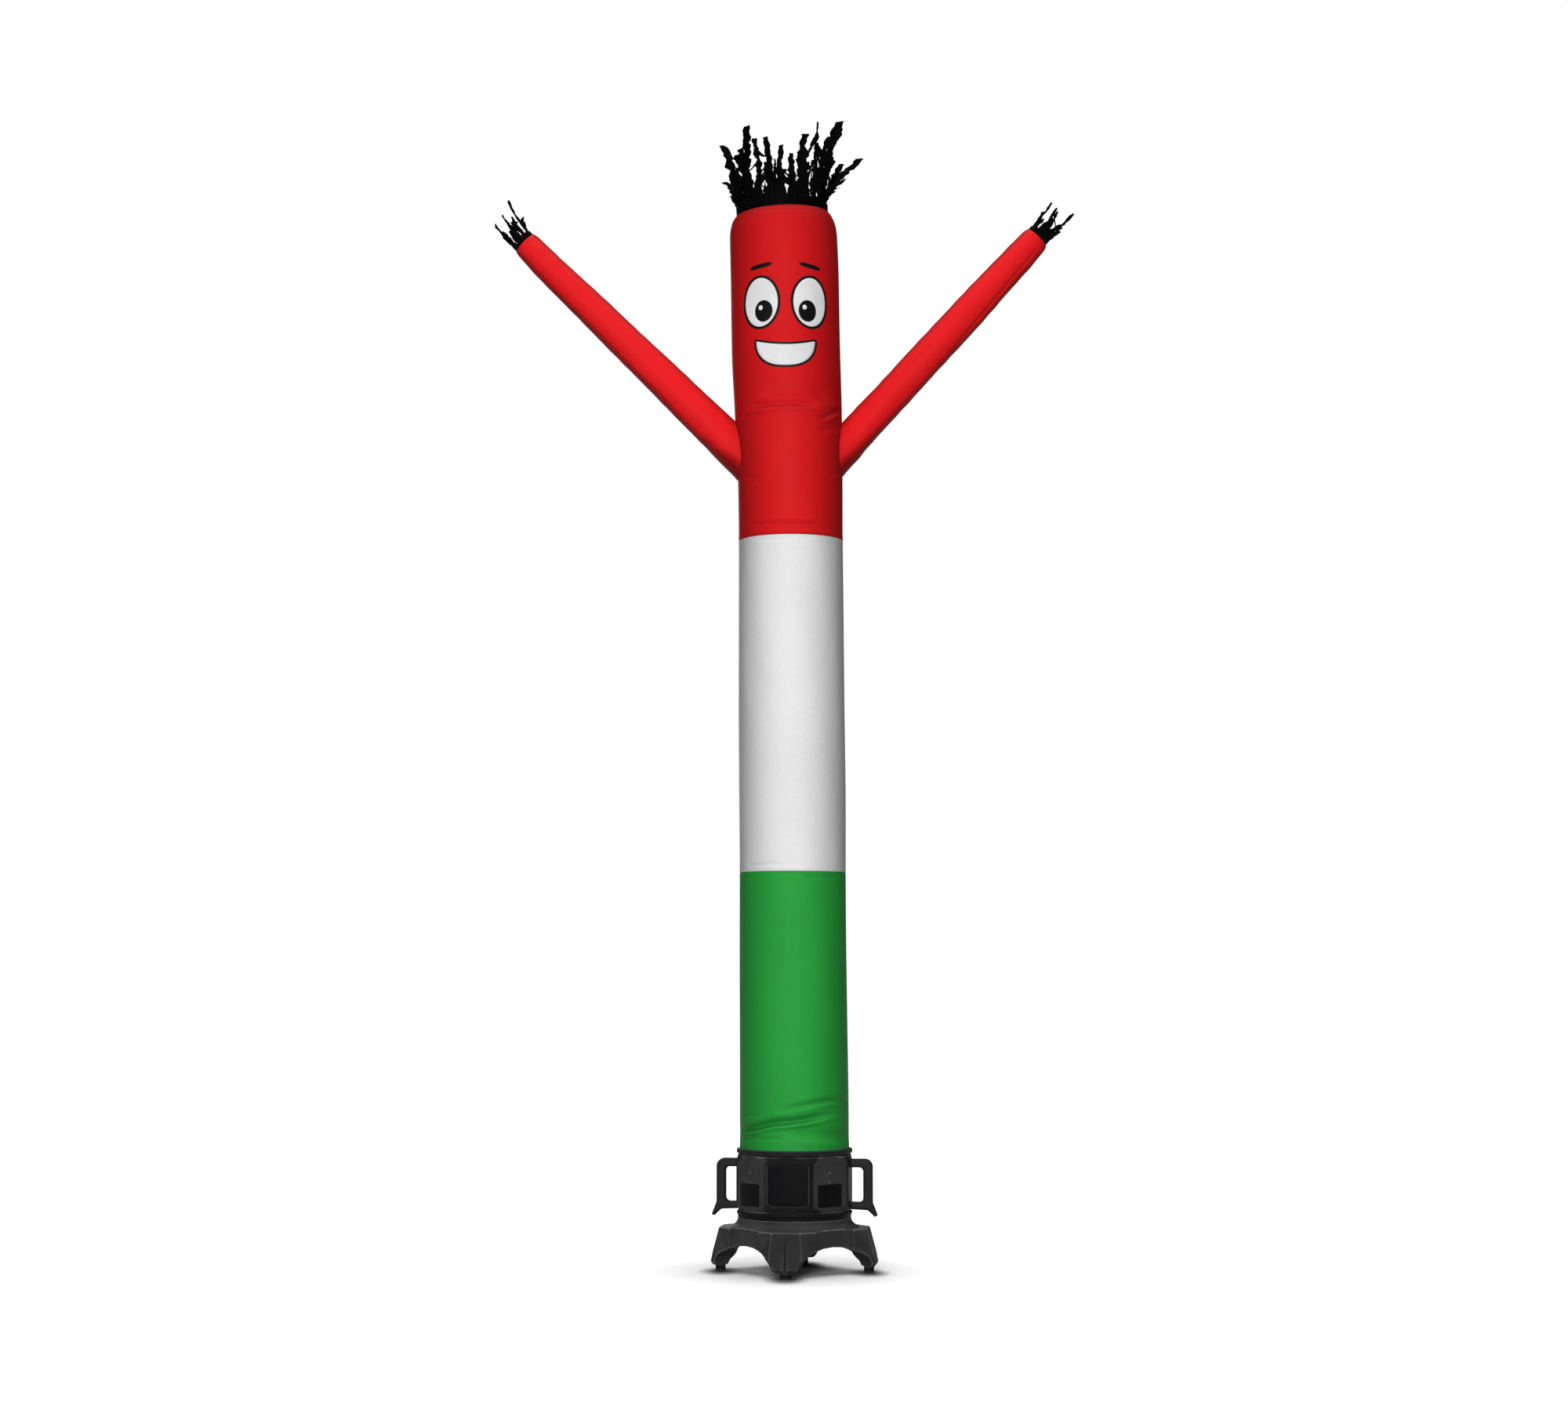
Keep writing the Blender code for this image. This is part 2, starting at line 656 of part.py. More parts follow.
def make_housing(parent):
    profile = turned_data("blower_housing", HOUSING_FORM)
    housing = add_part("blower_housing", profile, "housing_plastic", parent, BLOWER)
    screw(housing)

    bm = bmesh.new()
    corner = FLAT / math.cos(math.pi / FLATS)
    foot = HOUSING_FOOT - FLATS_WASTE
    bmesh.ops.create_cone(
        bm,
        segments=FLATS,
        radius1=corner,
        radius2=corner,
        depth=FLATS_TOP - foot,
        matrix=Matrix.Translation((0, 0, (FLATS_TOP + foot) / 2))
        @ Matrix.Rotation(math.pi / FLATS, 4, "Z"),
    )
    upright = [edge for edge in bm.edges if edge.verts[0].co.z != edge.verts[1].co.z]
    bmesh.ops.bevel(bm, geom=upright, offset=CORNER_BEVEL, segments=1, affect="EDGES")
    flats = add_cutter("housing_flats", mesh_of(bm, "housing_flats"), parent, BLOWER)
    outwards = flats.modifiers.new("outwards", "SOLIDIFY")
    outwards.thickness = FLATS_WASTE
    outwards.offset = 1
    outwards.use_even_offset = True
    boolean(housing, flats)

    outline = rounded_outline(rectangle(PANEL))
    recess = plate_object("panel_recess", outline, PANEL["depth"] * 2)
    recess.transform(on_flat(-math.pi / 2, 0, PANEL["centre"]))
    boolean(housing, add_cutter("panel_recess", recess, parent, BLOWER))
    return housing


def make_housing_trim(parent):
    """A blank label plate with two small bosses above it on each front diagonal flat."""
    for side, angle in LABEL_FLATS.items():
        outline = rounded_outline(rectangle(LABEL), 2)
        plate = plate_object("label", outline, LABEL["depth"])
        plate.transform(on_flat(angle, GAP + LABEL["depth"] / 2, LABEL["centre"]))
        add_part(f"label_{side}", plate, "label_black", parent, BLOWER)
        for level, (height, radius) in BOSSES.items():
            bm = bmesh.new()
            place = on_flat(angle, GAP + BOSS_RISE / 2, height) @ Matrix.Rotation(math.pi / 2, 4, "X")
            bmesh.ops.create_cone(
                bm,
                cap_ends=True,
                segments=BOSS_SIDES,
                radius1=radius,
                radius2=radius * BOSS_TAPER,
                depth=BOSS_RISE,
                matrix=place,
            )
            name = f"boss_{side}_{level}"
            add_part(name, shade(mesh_of(bm, name)), "boss_metal", parent, BLOWER)


def make_handles(parent):
    """A moulded handle with a lifting hook on each side flat."""
    outline = rounded_outline(HANDLE_FORM)
    for name, turn in {"handle_right": 0.0, "handle_left": math.pi}.items():
        mesh = plate_object(name, outline, HANDLE_DEPTH, HANDLE_ROUND)
        mesh.transform(Matrix.Rotation(turn, 4, "Z") @ Matrix.Translation((FLAT + GAP, 0, 0)))
        add_part(name, shade(mesh), "handle_plastic", parent, BLOWER)


def make_gland(parent):
    """The cable's inlet, low on the back flat."""
    place = on_flat(math.pi / 2, 0, GLAND_HEIGHT) @ Matrix.Rotation(math.pi / 2, 4, "X")
    profile = turned_data("cable_gland", GLAND_FORM)
    gland = add_part("cable_gland", profile, "handle_plastic", parent, BLOWER @ place)
    screw(gland, GLAND_SIDES)


# ---- the base ----


def skirt_outline(reach, half_width):
    """The plan of the skirt with its four legs, as x and y."""
    leg = [(SKIRT[0], -SKIRT[1]), (reach, -half_width), (reach, half_width), SKIRT]
    points = []
    for quarter in range(LEGS):
        turn = Matrix.Rotation(math.tau / LEGS * quarter, 2)
        points += [turn @ Vector(corner) for corner in leg]
    return points


def make_base(parent):
    bm = bmesh.new()
    rings = []
    for height, reach, half_width in reversed(LEG_FORM):
        plan = skirt_outline(reach, half_width)
        rings.append([bm.verts.new((*point, height)) for point in plan])
    for low, high in zip(rings, rings[1:]):
        for i in range(len(low)):
            bm.faces.new((low[i - 1], low[i], high[i], high[i - 1]))
    bm.faces.new(reversed(rings[0]))
    bm.faces.new(rings[-1])
    bmesh.ops.recalc_face_normals(bm, faces=bm.faces)
    bmesh.ops.triangulate(bm, faces=bm.faces)
    mesh = mesh_of(bm, "blower_base")
    base = add_part("blower_base", mesh, "housing_plastic", parent, BLOWER)

    profile = turned_data("base_hollow", HOLLOW_FORM, False)
    hollow = add_cutter("base_hollow", profile, parent, BLOWER)
    screw(hollow)
    neck = add_cutter("neck", turned_data("neck", NECK_FORM), parent, BLOWER)
    screw(neck)
    boolean(base, neck, "UNION", "MANIFOLD")
    boolean(base, hollow, "DIFFERENCE", "MANIFOLD")

    arch = [*reversed(ARCH), *((-distance, height) for distance, height in ARCH[1:])]
    for name, turn in {"arches_across": math.pi / 4, "arches_along": -math.pi / 4}.items():
        tunnel = plate_object(name, arch, TUNNEL)
        tunnel.transform(Matrix.Rotation(turn, 4, "Z"))
        boolean(base, add_cutter(name, tunnel, parent, BLOWER), "DIFFERENCE", "MANIFOLD")
    for name, data in {"inlet_slots": slot_cutters(), "grooves": groove_cutters()}.items():
        boolean(base, add_cutter(name, data, parent, BLOWER), "DIFFERENCE", "MANIFOLD")


def groove_cutters():
    """Four slender pyramids along the leaning faces of the legs."""
    bm = bmesh.new()
    top, _, low = (Vector((reach, 0, height)) for height, reach, _ in LEG_FORM[:3])
    slope = (low - top) / (top.z - low.z)
    start = top + slope * (top.z - GROOVE["from"])
    end = top + slope * (top.z - GROOVE["to"])
    lean = (start - end).to_track_quat("Z", "Y").to_matrix().to_4x4()
    for quarter in range(LEGS):
        turn = Matrix.Rotation(math.tau / LEGS * quarter, 4, "Z")
        bmesh.ops.create_cone(
            bm,
            cap_ends=True,
            segments=4,
            radius1=GROOVE["bottom"],
            radius2=GROOVE["top"],
            depth=(start - end).length,
            matrix=turn @ Matrix.Translation((start + end) / 2) @ lean,
        )
    return mesh_of(bm, "grooves")


def slot_cutters():
    """A ring of slots through the deck, where the air comes in."""
    bm = bmesh.new()
    length = INLET["outer"] - INLET["inner"]
    for index in range(INLET["slots"]):
        turn = Matrix.Rotation(math.tau * (index + 0.5) / INLET["slots"], 4, "Z")
        centre = ((INLET["outer"] + INLET["inner"]) / 2, 0, DECK_TOP - DECK / 2)
        size = Matrix.Diagonal((length, INLET["width"], DECK * 2, 1))
        bmesh.ops.create_cube(bm, size=1, matrix=turn @ Matrix.Translation(centre) @ size)
    return mesh_of(bm, "inlet_slots")


def make_pads(parent):
    names = ("pad_right", "pad_back", "pad_left", "pad_front")
    for quarter, name in enumerate(names):
        place = Matrix.Rotation(math.tau / LEGS * quarter, 4, "Z") @ Matrix.Translation((PAD_REACH, 0, 0))
        pad = add_part(name, turned_data(name, PAD_FORM, False), "pad_rubber", parent, BLOWER @ place)
        screw(pad, PAD_SIDES)


def main():
    clear_scene()
    new_collection("air_dancer")
    new_collection("cutters")
    stand = bpy.data.objects.new("blower_axis", None)
    stand.location.x = AXIS_X
    bpy.data.collections["air_dancer"].objects.link(stand)

    body = make_tube(stand)
    make_arms(stand, body)
    make_fringes(stand)
    make_housing(stand)
    make_housing_trim(stand)
    make_handles(stand)
    make_gland(stand)
    make_base(stand)
    make_pads(stand)


main()
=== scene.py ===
import math
from contextlib import contextmanager
from functools import partial

import bmesh
import bpy
import numpy as np
from mathutils import Matrix, Vector
from mathutils.bvhtree import BVHTree


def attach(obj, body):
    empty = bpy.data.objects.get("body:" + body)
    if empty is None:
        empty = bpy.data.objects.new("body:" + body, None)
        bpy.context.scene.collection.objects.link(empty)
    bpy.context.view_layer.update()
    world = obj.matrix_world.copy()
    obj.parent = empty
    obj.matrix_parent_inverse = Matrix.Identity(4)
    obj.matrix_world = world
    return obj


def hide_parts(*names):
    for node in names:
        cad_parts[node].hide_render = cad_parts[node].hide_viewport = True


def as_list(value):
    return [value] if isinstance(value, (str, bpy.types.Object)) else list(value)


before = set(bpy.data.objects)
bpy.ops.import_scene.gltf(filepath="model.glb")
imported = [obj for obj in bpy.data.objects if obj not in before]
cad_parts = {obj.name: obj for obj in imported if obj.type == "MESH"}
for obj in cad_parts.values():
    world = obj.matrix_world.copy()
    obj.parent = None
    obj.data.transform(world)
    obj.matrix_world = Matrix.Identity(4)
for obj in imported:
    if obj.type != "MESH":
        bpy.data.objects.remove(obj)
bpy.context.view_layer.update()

body = "root"
blowerX = 0.027  # the blower's axis, which the cloth tube stands on
blowerTurn = math.radians(-7)
blowerPlace = Matrix.Translation((blowerX, 0, 0)) @ Matrix.Rotation(blowerTurn, 4, "Z")
mergeDistance = 0.00005


# pieces and meshes

def linked(name, data):
    piece = bpy.data.objects.new(name, data)
    bpy.context.scene.collection.objects.link(piece)
    return piece


def dress(piece, material, slot, *nodes):
    piece.data.materials.clear()
    piece.data.materials.append(materials[material])
    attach(piece, body)
    if nodes:
        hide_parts(*nodes)
    return piece


def settled(piece):
    # the evaluated piece as a plain mesh, in place of the piece
    bpy.context.view_layer.update()
    graph = bpy.context.evaluated_depsgraph_get()
    source = piece.evaluated_get(graph)
    mesh = bpy.data.meshes.new_from_object(source, preserve_all_data_layers=True, depsgraph=graph)
    name = piece.name
    bpy.data.objects.remove(piece)
    mesh.name = name
    return linked(name, mesh)


def solidified(piece, thickness):
    wall = piece.modifiers.new("wall", "SOLIDIFY")
    wall.thickness = thickness
    wall.offset = -1
    return piece


@contextmanager
def edited(mesh, weld=False):
    bm = bmesh.new()
    bm.from_mesh(mesh)
    if weld:
        bmesh.ops.remove_doubles(bm, verts=bm.verts, dist=mergeDistance)
    yield bm
    bm.to_mesh(mesh)
    bm.free()


def faceOutwards(bm):
    bmesh.ops.recalc_face_normals(bm, faces=bm.faces)


def meshOf(name, points, edges=(), faces=()):
    mesh = bpy.data.meshes.new(name)
    mesh.from_pydata(points, edges, faces)
    return mesh


def shadeByAngle(mesh, degrees=35):
    mesh.shade_smooth()
    mesh.set_sharp_from_angle(angle=math.radians(degrees))


def pointsOf(mesh):
    places = np.empty(len(mesh.vertices) * 3, np.float32)
    mesh.vertices.foreach_get("co", places)
    return places.reshape(-1, 3)


def normalsOf(mesh):
    normals = np.empty(len(mesh.vertices) * 3, np.float32)
    mesh.vertex_normals.foreach_get("vector", normals)
    return normals.reshape(-1, 3)


def movePoints(mesh, places):
    mesh.vertices.foreach_set("co", places.reshape(-1).astype(np.float32))
    mesh.update()


def mark(mesh, label, values):
    layer = mesh.attributes.new(label, "FLOAT", "POINT")
    layer.data.foreach_set("value", values.astype(np.float32))


def gridMesh(name, points, u, v, keep=None):
    # a grid of points, rows by columns, rolled up so that its last column meets its first
    rows, columns = points.shape[:2]
    low = np.arange(rows - 1)[:, None] * columns
    column = np.arange(columns)[None, :]
    ahead = (column + 1) % columns
    high = low + columns
    quads = np.stack([low + column, low + ahead, high + ahead, high + column], -1)
    cornerU = np.stack([u[:-1], u[1:], u[1:], u[:-1]], -1)[None].repeat(rows - 1, 0)
    cornerV = np.stack([v[:-1], v[:-1], v[1:], v[1:]], -1)[:, None].repeat(columns, 1)
    uv = np.stack([cornerU, cornerV], -1)
    if keep is not None:
        quads, uv = quads[keep], uv[keep]
    used, index = np.unique(quads.reshape(-1, 4), return_inverse=True)
    mesh = meshOf(name, points.reshape(-1, 3)[used].tolist(), faces=index.reshape(-1, 4).tolist())
    layer = mesh.uv_layers.new(name="clothUV")
    layer.data.foreach_set("uv", uv.reshape(-1).astype(np.float32))
    mesh.shade_smooth()
    return mesh


# curves and places, as arrays

def readForm(rows, column, at):
    # a smooth curve through a table's rows, which never overshoots them
    x = np.array([row[0] for row in rows])
    y = np.array([row[column] for row in rows])
    step = np.diff(x)
    rise = np.diff(y) / step
    slope = np.concatenate([rise[:1], np.zeros(len(rise) - 1), rise[-1:]])
    inner = slope[1:-1]
    same = rise[:-1] * rise[1:] > 0
    inner[same] = 2 * (rise[:-1] * rise[1:])[same] / (rise[:-1] + rise[1:])[same]
    low = np.clip(np.searchsorted(x, at) - 1, 0, len(step) - 1)
    t = (np.clip(at, x[0], x[-1]) - x[low]) / step[low]
    ends = (1 + 2 * t) * (1 - t) ** 2 * y[low] + t * t * (3 - 2 * t) * y[low + 1]
    return ends + step[low] * t * (1 - t) * ((1 - t) * slope[low] - t * slope[low + 1])


def spaced(stretches):
    # levels from a list of stretches, each from, to and longest step
    levels = [stretches[0][0]]
    for low, high, step in stretches:
        count = max(1, math.ceil((high - low) / step))
        levels += [low + (high - low) * i / count for i in range(1, count + 1)]
    return np.array(levels)


def bell(away, width):
    return np.exp(-((away / width) ** 2))


def smoothStep(share):
    share = np.clip(share, 0, 1)
    return share * share * (3 - 2 * share)


def wrapped(angle):
    return (angle + math.pi) % math.tau - math.pi


def bisected(low, high, test):
    # between low, where the test is true, and high, where it isn't
    for _ in range(30):
        middle = (low + high) / 2
        passed = test(middle)
        low = np.where(passed, middle, low)
        high = np.where(passed, high, middle)
    return low


def placed(points, matrix):
    return points @ matrix[:3, :3].T + matrix[:3, 3]


def unplaced(points, matrix):
    return (points - matrix[:3, 3]) @ matrix[:3, :3]


# nodes

def put(tree, kind, links=None, **settings):
    # one node, with its settings, and its inputs given as values or as other nodes' sockets
    node = tree.nodes.new(kind)
    for key, value in settings.items():
        setattr(node, key, value)
    for socket, source in (links or {}).items():
        if isinstance(source, bpy.types.NodeSocket):
            tree.links.new(source, node.inputs[socket])
        else:
            node.inputs[socket].default_value = source
    return node


def calc(tree, operation, *values):
    return put(tree, "ShaderNodeMath", dict(enumerate(values)), operation=operation).outputs[0]


def vectorCalc(tree, operation, first, second=None):
    # the second is a number for SCALE and a vector otherwise
    links = {0: first}
    if second is not None:
        links["Scale" if operation == "SCALE" else 1] = second
    node = put(tree, "ShaderNodeVectorMath", links, operation=operation)
    return node.outputs["Value" if operation == "LENGTH" else "Vector"]


def vector(tree, *values):
    return put(tree, "ShaderNodeCombineXYZ", dict(enumerate(values))).outputs[0]


def mapped(tree, value, low, high, start=0.0, end=1.0, kind="SMOOTHSTEP"):
    links = {"Value": value, "From Min": low, "From Max": high, "To Min": start, "To Max": end}
    return put(tree, "ShaderNodeMapRange", links, interpolation_type=kind).outputs["Result"]


def noise(tree, place, scale, detail, **settings):
    links = {"Vector": place, "Scale": scale, "Detail": detail}
    return put(tree, "ShaderNodeTexNoise", links, **settings)


def colourMix(tree, factor, first, second, blend="MIX"):
    # 6, 7 and 2 are the node's colour sockets
    links = {0: factor, 6: first, 7: second}
    return put(tree, "ShaderNodeMix", links, data_type="RGBA", blend_type=blend).outputs[2]


def ramp(tree, factor, colour, stops):
    # a colour made darker or lighter: each stop is a position and a share of the colour
    node = put(tree, "ShaderNodeValToRGB", {"Fac": factor})
    elements = node.color_ramp.elements
    stops = list(stops)
    while len(elements) < len(stops):
        elements.new(0.5)
    for element, (position, share) in zip(elements, stops):
        element.position = position
        element.color = (*(channel * share for channel in colour), 1)
    return node.outputs["Color"]


def attribute(tree, label):
    return put(tree, "ShaderNodeAttribute", attribute_name=label).outputs["Fac"]


def newTree(name, kind, inputs):
    # a group with one output, and the sockets of what it is given
    tree = bpy.data.node_groups.new(name, f"{kind}NodeTree")
    for label, socket in inputs.items():
        tree.interface.new_socket(label, in_out="INPUT", socket_type=f"NodeSocket{socket}")
    socket = "NodeSocketGeometry" if kind == "Geometry" else "NodeSocketFloat"
    tree.interface.new_socket("Result", in_out="OUTPUT", socket_type=socket)
    return tree, put(tree, "NodeGroupInput").outputs


def closeTree(tree, source):
    put(tree, "NodeGroupOutput", {0: source})
    return tree


def closeForm(tree, geometry, material):
    real = put(tree, "GeometryNodeRealizeInstances", {"Geometry": geometry})
    links = {"Geometry": real.outputs[0], "Material": material}
    return closeTree(tree, put(tree, "GeometryNodeSetMaterial", links).outputs[0])


def runTree(piece, tree, values):
    # a modifier's inputs are set by their identifiers, before it is first evaluated
    modifier = piece.modifiers.new(tree.name, "NODES")
    modifier.node_group = tree
    for item in tree.interface.items_tree:
        if item.item_type == "SOCKET" and item.in_out == "INPUT" and item.name in values:
            modifier[item.identifier] = values[item.name]
    return settled(piece)


def newMaterial(name, fixed):
    material = bpy.data.materials.new(name)
    material.use_nodes = True
    tree = material.node_tree
    shader = tree.nodes["Principled BSDF"]
    for socket, value in fixed.items():
        shader.inputs[socket].default_value = value
    return material, tree, shader, put(tree, "ShaderNodeTexCoord").outputs["Object"]


def feed(tree, shader, colour, rough=None):
    tree.links.new(colour, shader.inputs["Base Color"])
    if rough:
        tree.links.new(rough, shader.inputs["Roughness"])


# camera, floor and light

view = {"place": (-0.0026, -8.0, 0.85), "lookUp": 5.098, "lens": 64.807, "sensor": 36.0}
studio = {
    "backdrop": 1.0,  # brightness of the world as the camera sees it
    "ambient": 0.05,  # and as it lights the object
    "floorSize": 60.0,
    "floorShade": (0.64, 0.97),  # painted shadow: the floor's colour under the object, and away from it
    "floorFade": (0.1, 0.62),  # distances between which it changes
    "floorBounce": (0.15, 0.15, 0.15, 1),  # its colour to the light that it throws back
    "overhead": 3.3,
    "overheadSpread": 70.0,
}
paintedContactShadow = {  # a painted contact shadow: the soft dark spot round each pad
    "reach": 0.209,
    "forward": 0.025,
    "size": (0.044, 0.08, 1),  # its half width and half depth
    "fade": (0.3, 1.7),  # where it starts and ends, in those sizes
    "shade": 0.13,
}
softboxes = {  # place, aim, width and height, watts
    "keyLight": ((-0.8, -7.6, 2.2), (0.0, 0.0, 1.75), (2.2, 3.0), 437),
    "backLight": ((-1.2, 7.0, 3.0), (0.0, 0.0, 1.6), (3.0, 3.0), 130),
}


def makeCamera():
    data = bpy.data.cameras.new("camera")
    data.lens = view["lens"]
    data.sensor_width = view["sensor"]
    data.clip_end = 200
    camera = linked("camera", data)
    camera.location = view["place"]
    camera.rotation_euler = (math.radians(90 + view["lookUp"]), 0, 0)
    bpy.context.scene.camera = camera


def makeWorld():
    world = bpy.data.worlds.new("studioWorld")
    bpy.context.scene.world = world
    world.use_nodes = True
    tree = world.node_tree
    tree.nodes.clear()
    links = {0: put(tree, "ShaderNodeLightPath").outputs["Is Camera Ray"]}
    for socket, strength in ((1, studio["ambient"]), (2, studio["backdrop"])):
        glow = put(tree, "ShaderNodeBackground", {"Color": (1, 1, 1, 1), "Strength": strength})
        links[socket] = glow.outputs[0]
    mix = put(tree, "ShaderNodeMixShader", links)
    put(tree, "ShaderNodeOutputWorld", {"Surface": mix.outputs[0]})
    bpy.context.scene.view_settings.view_transform = "Standard"


def makeFloor():
    mesh = bpy.data.meshes.new("floor")
    with edited(mesh) as bm:
        bmesh.ops.create_circle(bm, cap_ends=True, segments=64, radius=studio["floorSize"] / 2)
    fixed = {"Roughness": 0.9, "Specular IOR Level": 0.1}
    material, tree, shader, spot = newMaterial("floorWithPaintedShadows", fixed)
    # painted shadow: the floor is darker near the object
    share = mapped(tree, vectorCalc(tree, "LENGTH", spot), *studio["floorFade"])
    lit = 1.0
    # painted contact shadow: a soft dark spot under each pad
    for x, y in ((0, -1), (1, 0), (0, 1), (-1, 0)):
        middle = blowerPlace @ (Vector((x, y, 0)) * paintedContactShadow["reach"])
        middle.y -= paintedContactShadow["forward"]
        off = vectorCalc(tree, "SUBTRACT", spot, tuple(middle))
        reach = vectorCalc(tree, "LENGTH", vectorCalc(tree, "DIVIDE", off, paintedContactShadow["size"]))
        lit = calc(tree, "MULTIPLY", lit, mapped(tree, reach, *paintedContactShadow["fade"], paintedContactShadow["shade"]))
    plain = ramp(tree, share, (1, 1, 1), zip((0, 1), studio["floorShade"]))
    bounced = put(tree, "ShaderNodeLightPath").outputs["Is Diffuse Ray"]
    dimmed = vectorCalc(tree, "SCALE", plain, lit)
    feed(tree, shader, colourMix(tree, bounced, dimmed, studio["floorBounce"]))
    mesh.materials.append(material)
    linked("floor", mesh)


def makeLights():
    for name, (place, aim, (width, height), watts) in softboxes.items():
        data = bpy.data.lights.new(name, "AREA")
        data.shape = "RECTANGLE"
        data.size = width
        data.size_y = height
        data.energy = watts
        light = linked(name, data)
        light.location = place
        light.rotation_euler = (Vector(aim) - Vector(place)).to_track_quat("-Z", "Y").to_euler()
        light.visible_camera = False
    data = bpy.data.lights.new("overhead", "SUN")
    data.energy = studio["overhead"]
    data.angle = math.radians(studio["overheadSpread"])
    linked("overhead", data).location = (0, 0, 5)


makeCamera()
makeWorld()
makeFloor()
makeLights()
print("camera, floor and lights are set")


# what more than one material uses

def nylonWeaveGroup():
    # plain weave with a thicker thread at each ripstop line
    inputs = {"Vector": "Vector", "Threads": "Float", "Ripstop": "Float"}
    tree, given = newTree("nylonWeave", "Shader", inputs)
    split = put(tree, "ShaderNodeSeparateXYZ", {0: given["Vector"]})
    waves, lines = [], []
    for axis in "XY":
        turns = calc(tree, "MULTIPLY", split.outputs[axis], given["Threads"])
        waves.append(calc(tree, "SINE", calc(tree, "MULTIPLY", turns, math.tau)))
        cell = calc(tree, "MULTIPLY", split.outputs[axis], given["Ripstop"])
        lines.append(calc(tree, "LESS_THAN", calc(tree, "PINGPONG", cell, 0.5), 0.045))
    woven = calc(tree, "MULTIPLY_ADD", calc(tree, "MULTIPLY", *waves), 0.3, 0.35)
    return closeTree(tree, calc(tree, "MULTIPLY_ADD", calc(tree, "MAXIMUM", *lines), 0.35, woven))


def cloudGroup():
    # slow and fine variation over a surface, about 0.5 in the middle
    tree, given = newTree("cloud", "Shader", {"Vector": "Vector", "Scale": "Float", "Fine": "Float"})
    slow = noise(tree, given["Vector"], given["Scale"], 2.0)
    fine = noise(tree, given["Vector"], calc(tree, "MULTIPLY", given["Scale"], 23.0), 3.0)
    extra = calc(tree, "SUBTRACT", fine.outputs["Fac"], 0.5)
    value = calc(tree, "MULTIPLY_ADD", extra, given["Fine"], slow.outputs["Fac"])
    return closeTree(tree, value)


def mouldGrainGroup():
    # the fine orange-peel grain of a moulded surface
    tree, given = newTree("mouldGrain", "Shader", {"Vector": "Vector", "Scale": "Float"})
    cells = put(tree, "ShaderNodeTexVoronoi", {key: given[key] for key in ("Vector", "Scale")})
    grit = noise(tree, given["Vector"], given["Scale"], 2.0).outputs["Fac"]
    return closeTree(tree, calc(tree, "MULTIPLY_ADD", cells.outputs["Distance"], 0.5, grit))


def edgeWearGroup():
    # the lighter edges of a piece, partly wear and partly a painted highlight, broken up by noise
    tree, given = newTree("edgeWear", "Shader", {"Wear": "Float", "Vector": "Vector", "From": "Float"})
    broken = noise(tree, given["Vector"], 70.0, 3.0).outputs["Fac"]
    broken = calc(tree, "MULTIPLY_ADD", broken, 0.09, given["Wear"])
    top = calc(tree, "ADD", given["From"], 0.36)
    return closeTree(tree, mapped(tree, broken, given["From"], top))


effects = {
    "weave": nylonWeaveGroup(),
    "cloud": cloudGroup(),
    "grain": mouldGrainGroup(),
    "relief": edgeWearGroup(),
}


def effect(tree, name, **links):
    return put(tree, "ShaderNodeGroup", links, node_tree=effects[name]).outputs[0]


def bumped(tree, shader, height, distance, strength, under=None):
    links = {"Height": height, "Distance": distance, "Strength": strength}
    if under:
        links["Normal"] = under
    bump = put(tree, "ShaderNodeBump", links).outputs["Normal"]
    tree.links.new(bump, shader.inputs["Normal"])
    return bump


nylon = {
    "shine": 0.07,
    "cloud": (3.0, 0.5),  # scale and fineness of its slow variation
    "threads": 1400.0,  # in a metre
    "ripstop": 180.0,  # thicker ones in a metre
    "weaveShade": 0.15,
    "tones": ((0.2, 0.93), (0.5, 1.0), (0.8, 1.05)),
    "turned": (0.0, 0.25, 0.6, 1.0),  # painted shade at the cloth's sides: from facing the eye to fully turned away
    "side": (0.78, 0.55, 0.5),  # and how dark that painted shade makes the cloth at the last three, then a sleeve's
    "sleeve": (0.95, 0.66, 0.3),
    "rough": (0.16, 0.5),
    "creases": (26.0, 4.0, 0.55),  # scale, detail and roughness of its fine creases
    "creaseDepth": (0.0012, 0.5),
    "weaveDepth": (0.0001, 0.5),
}


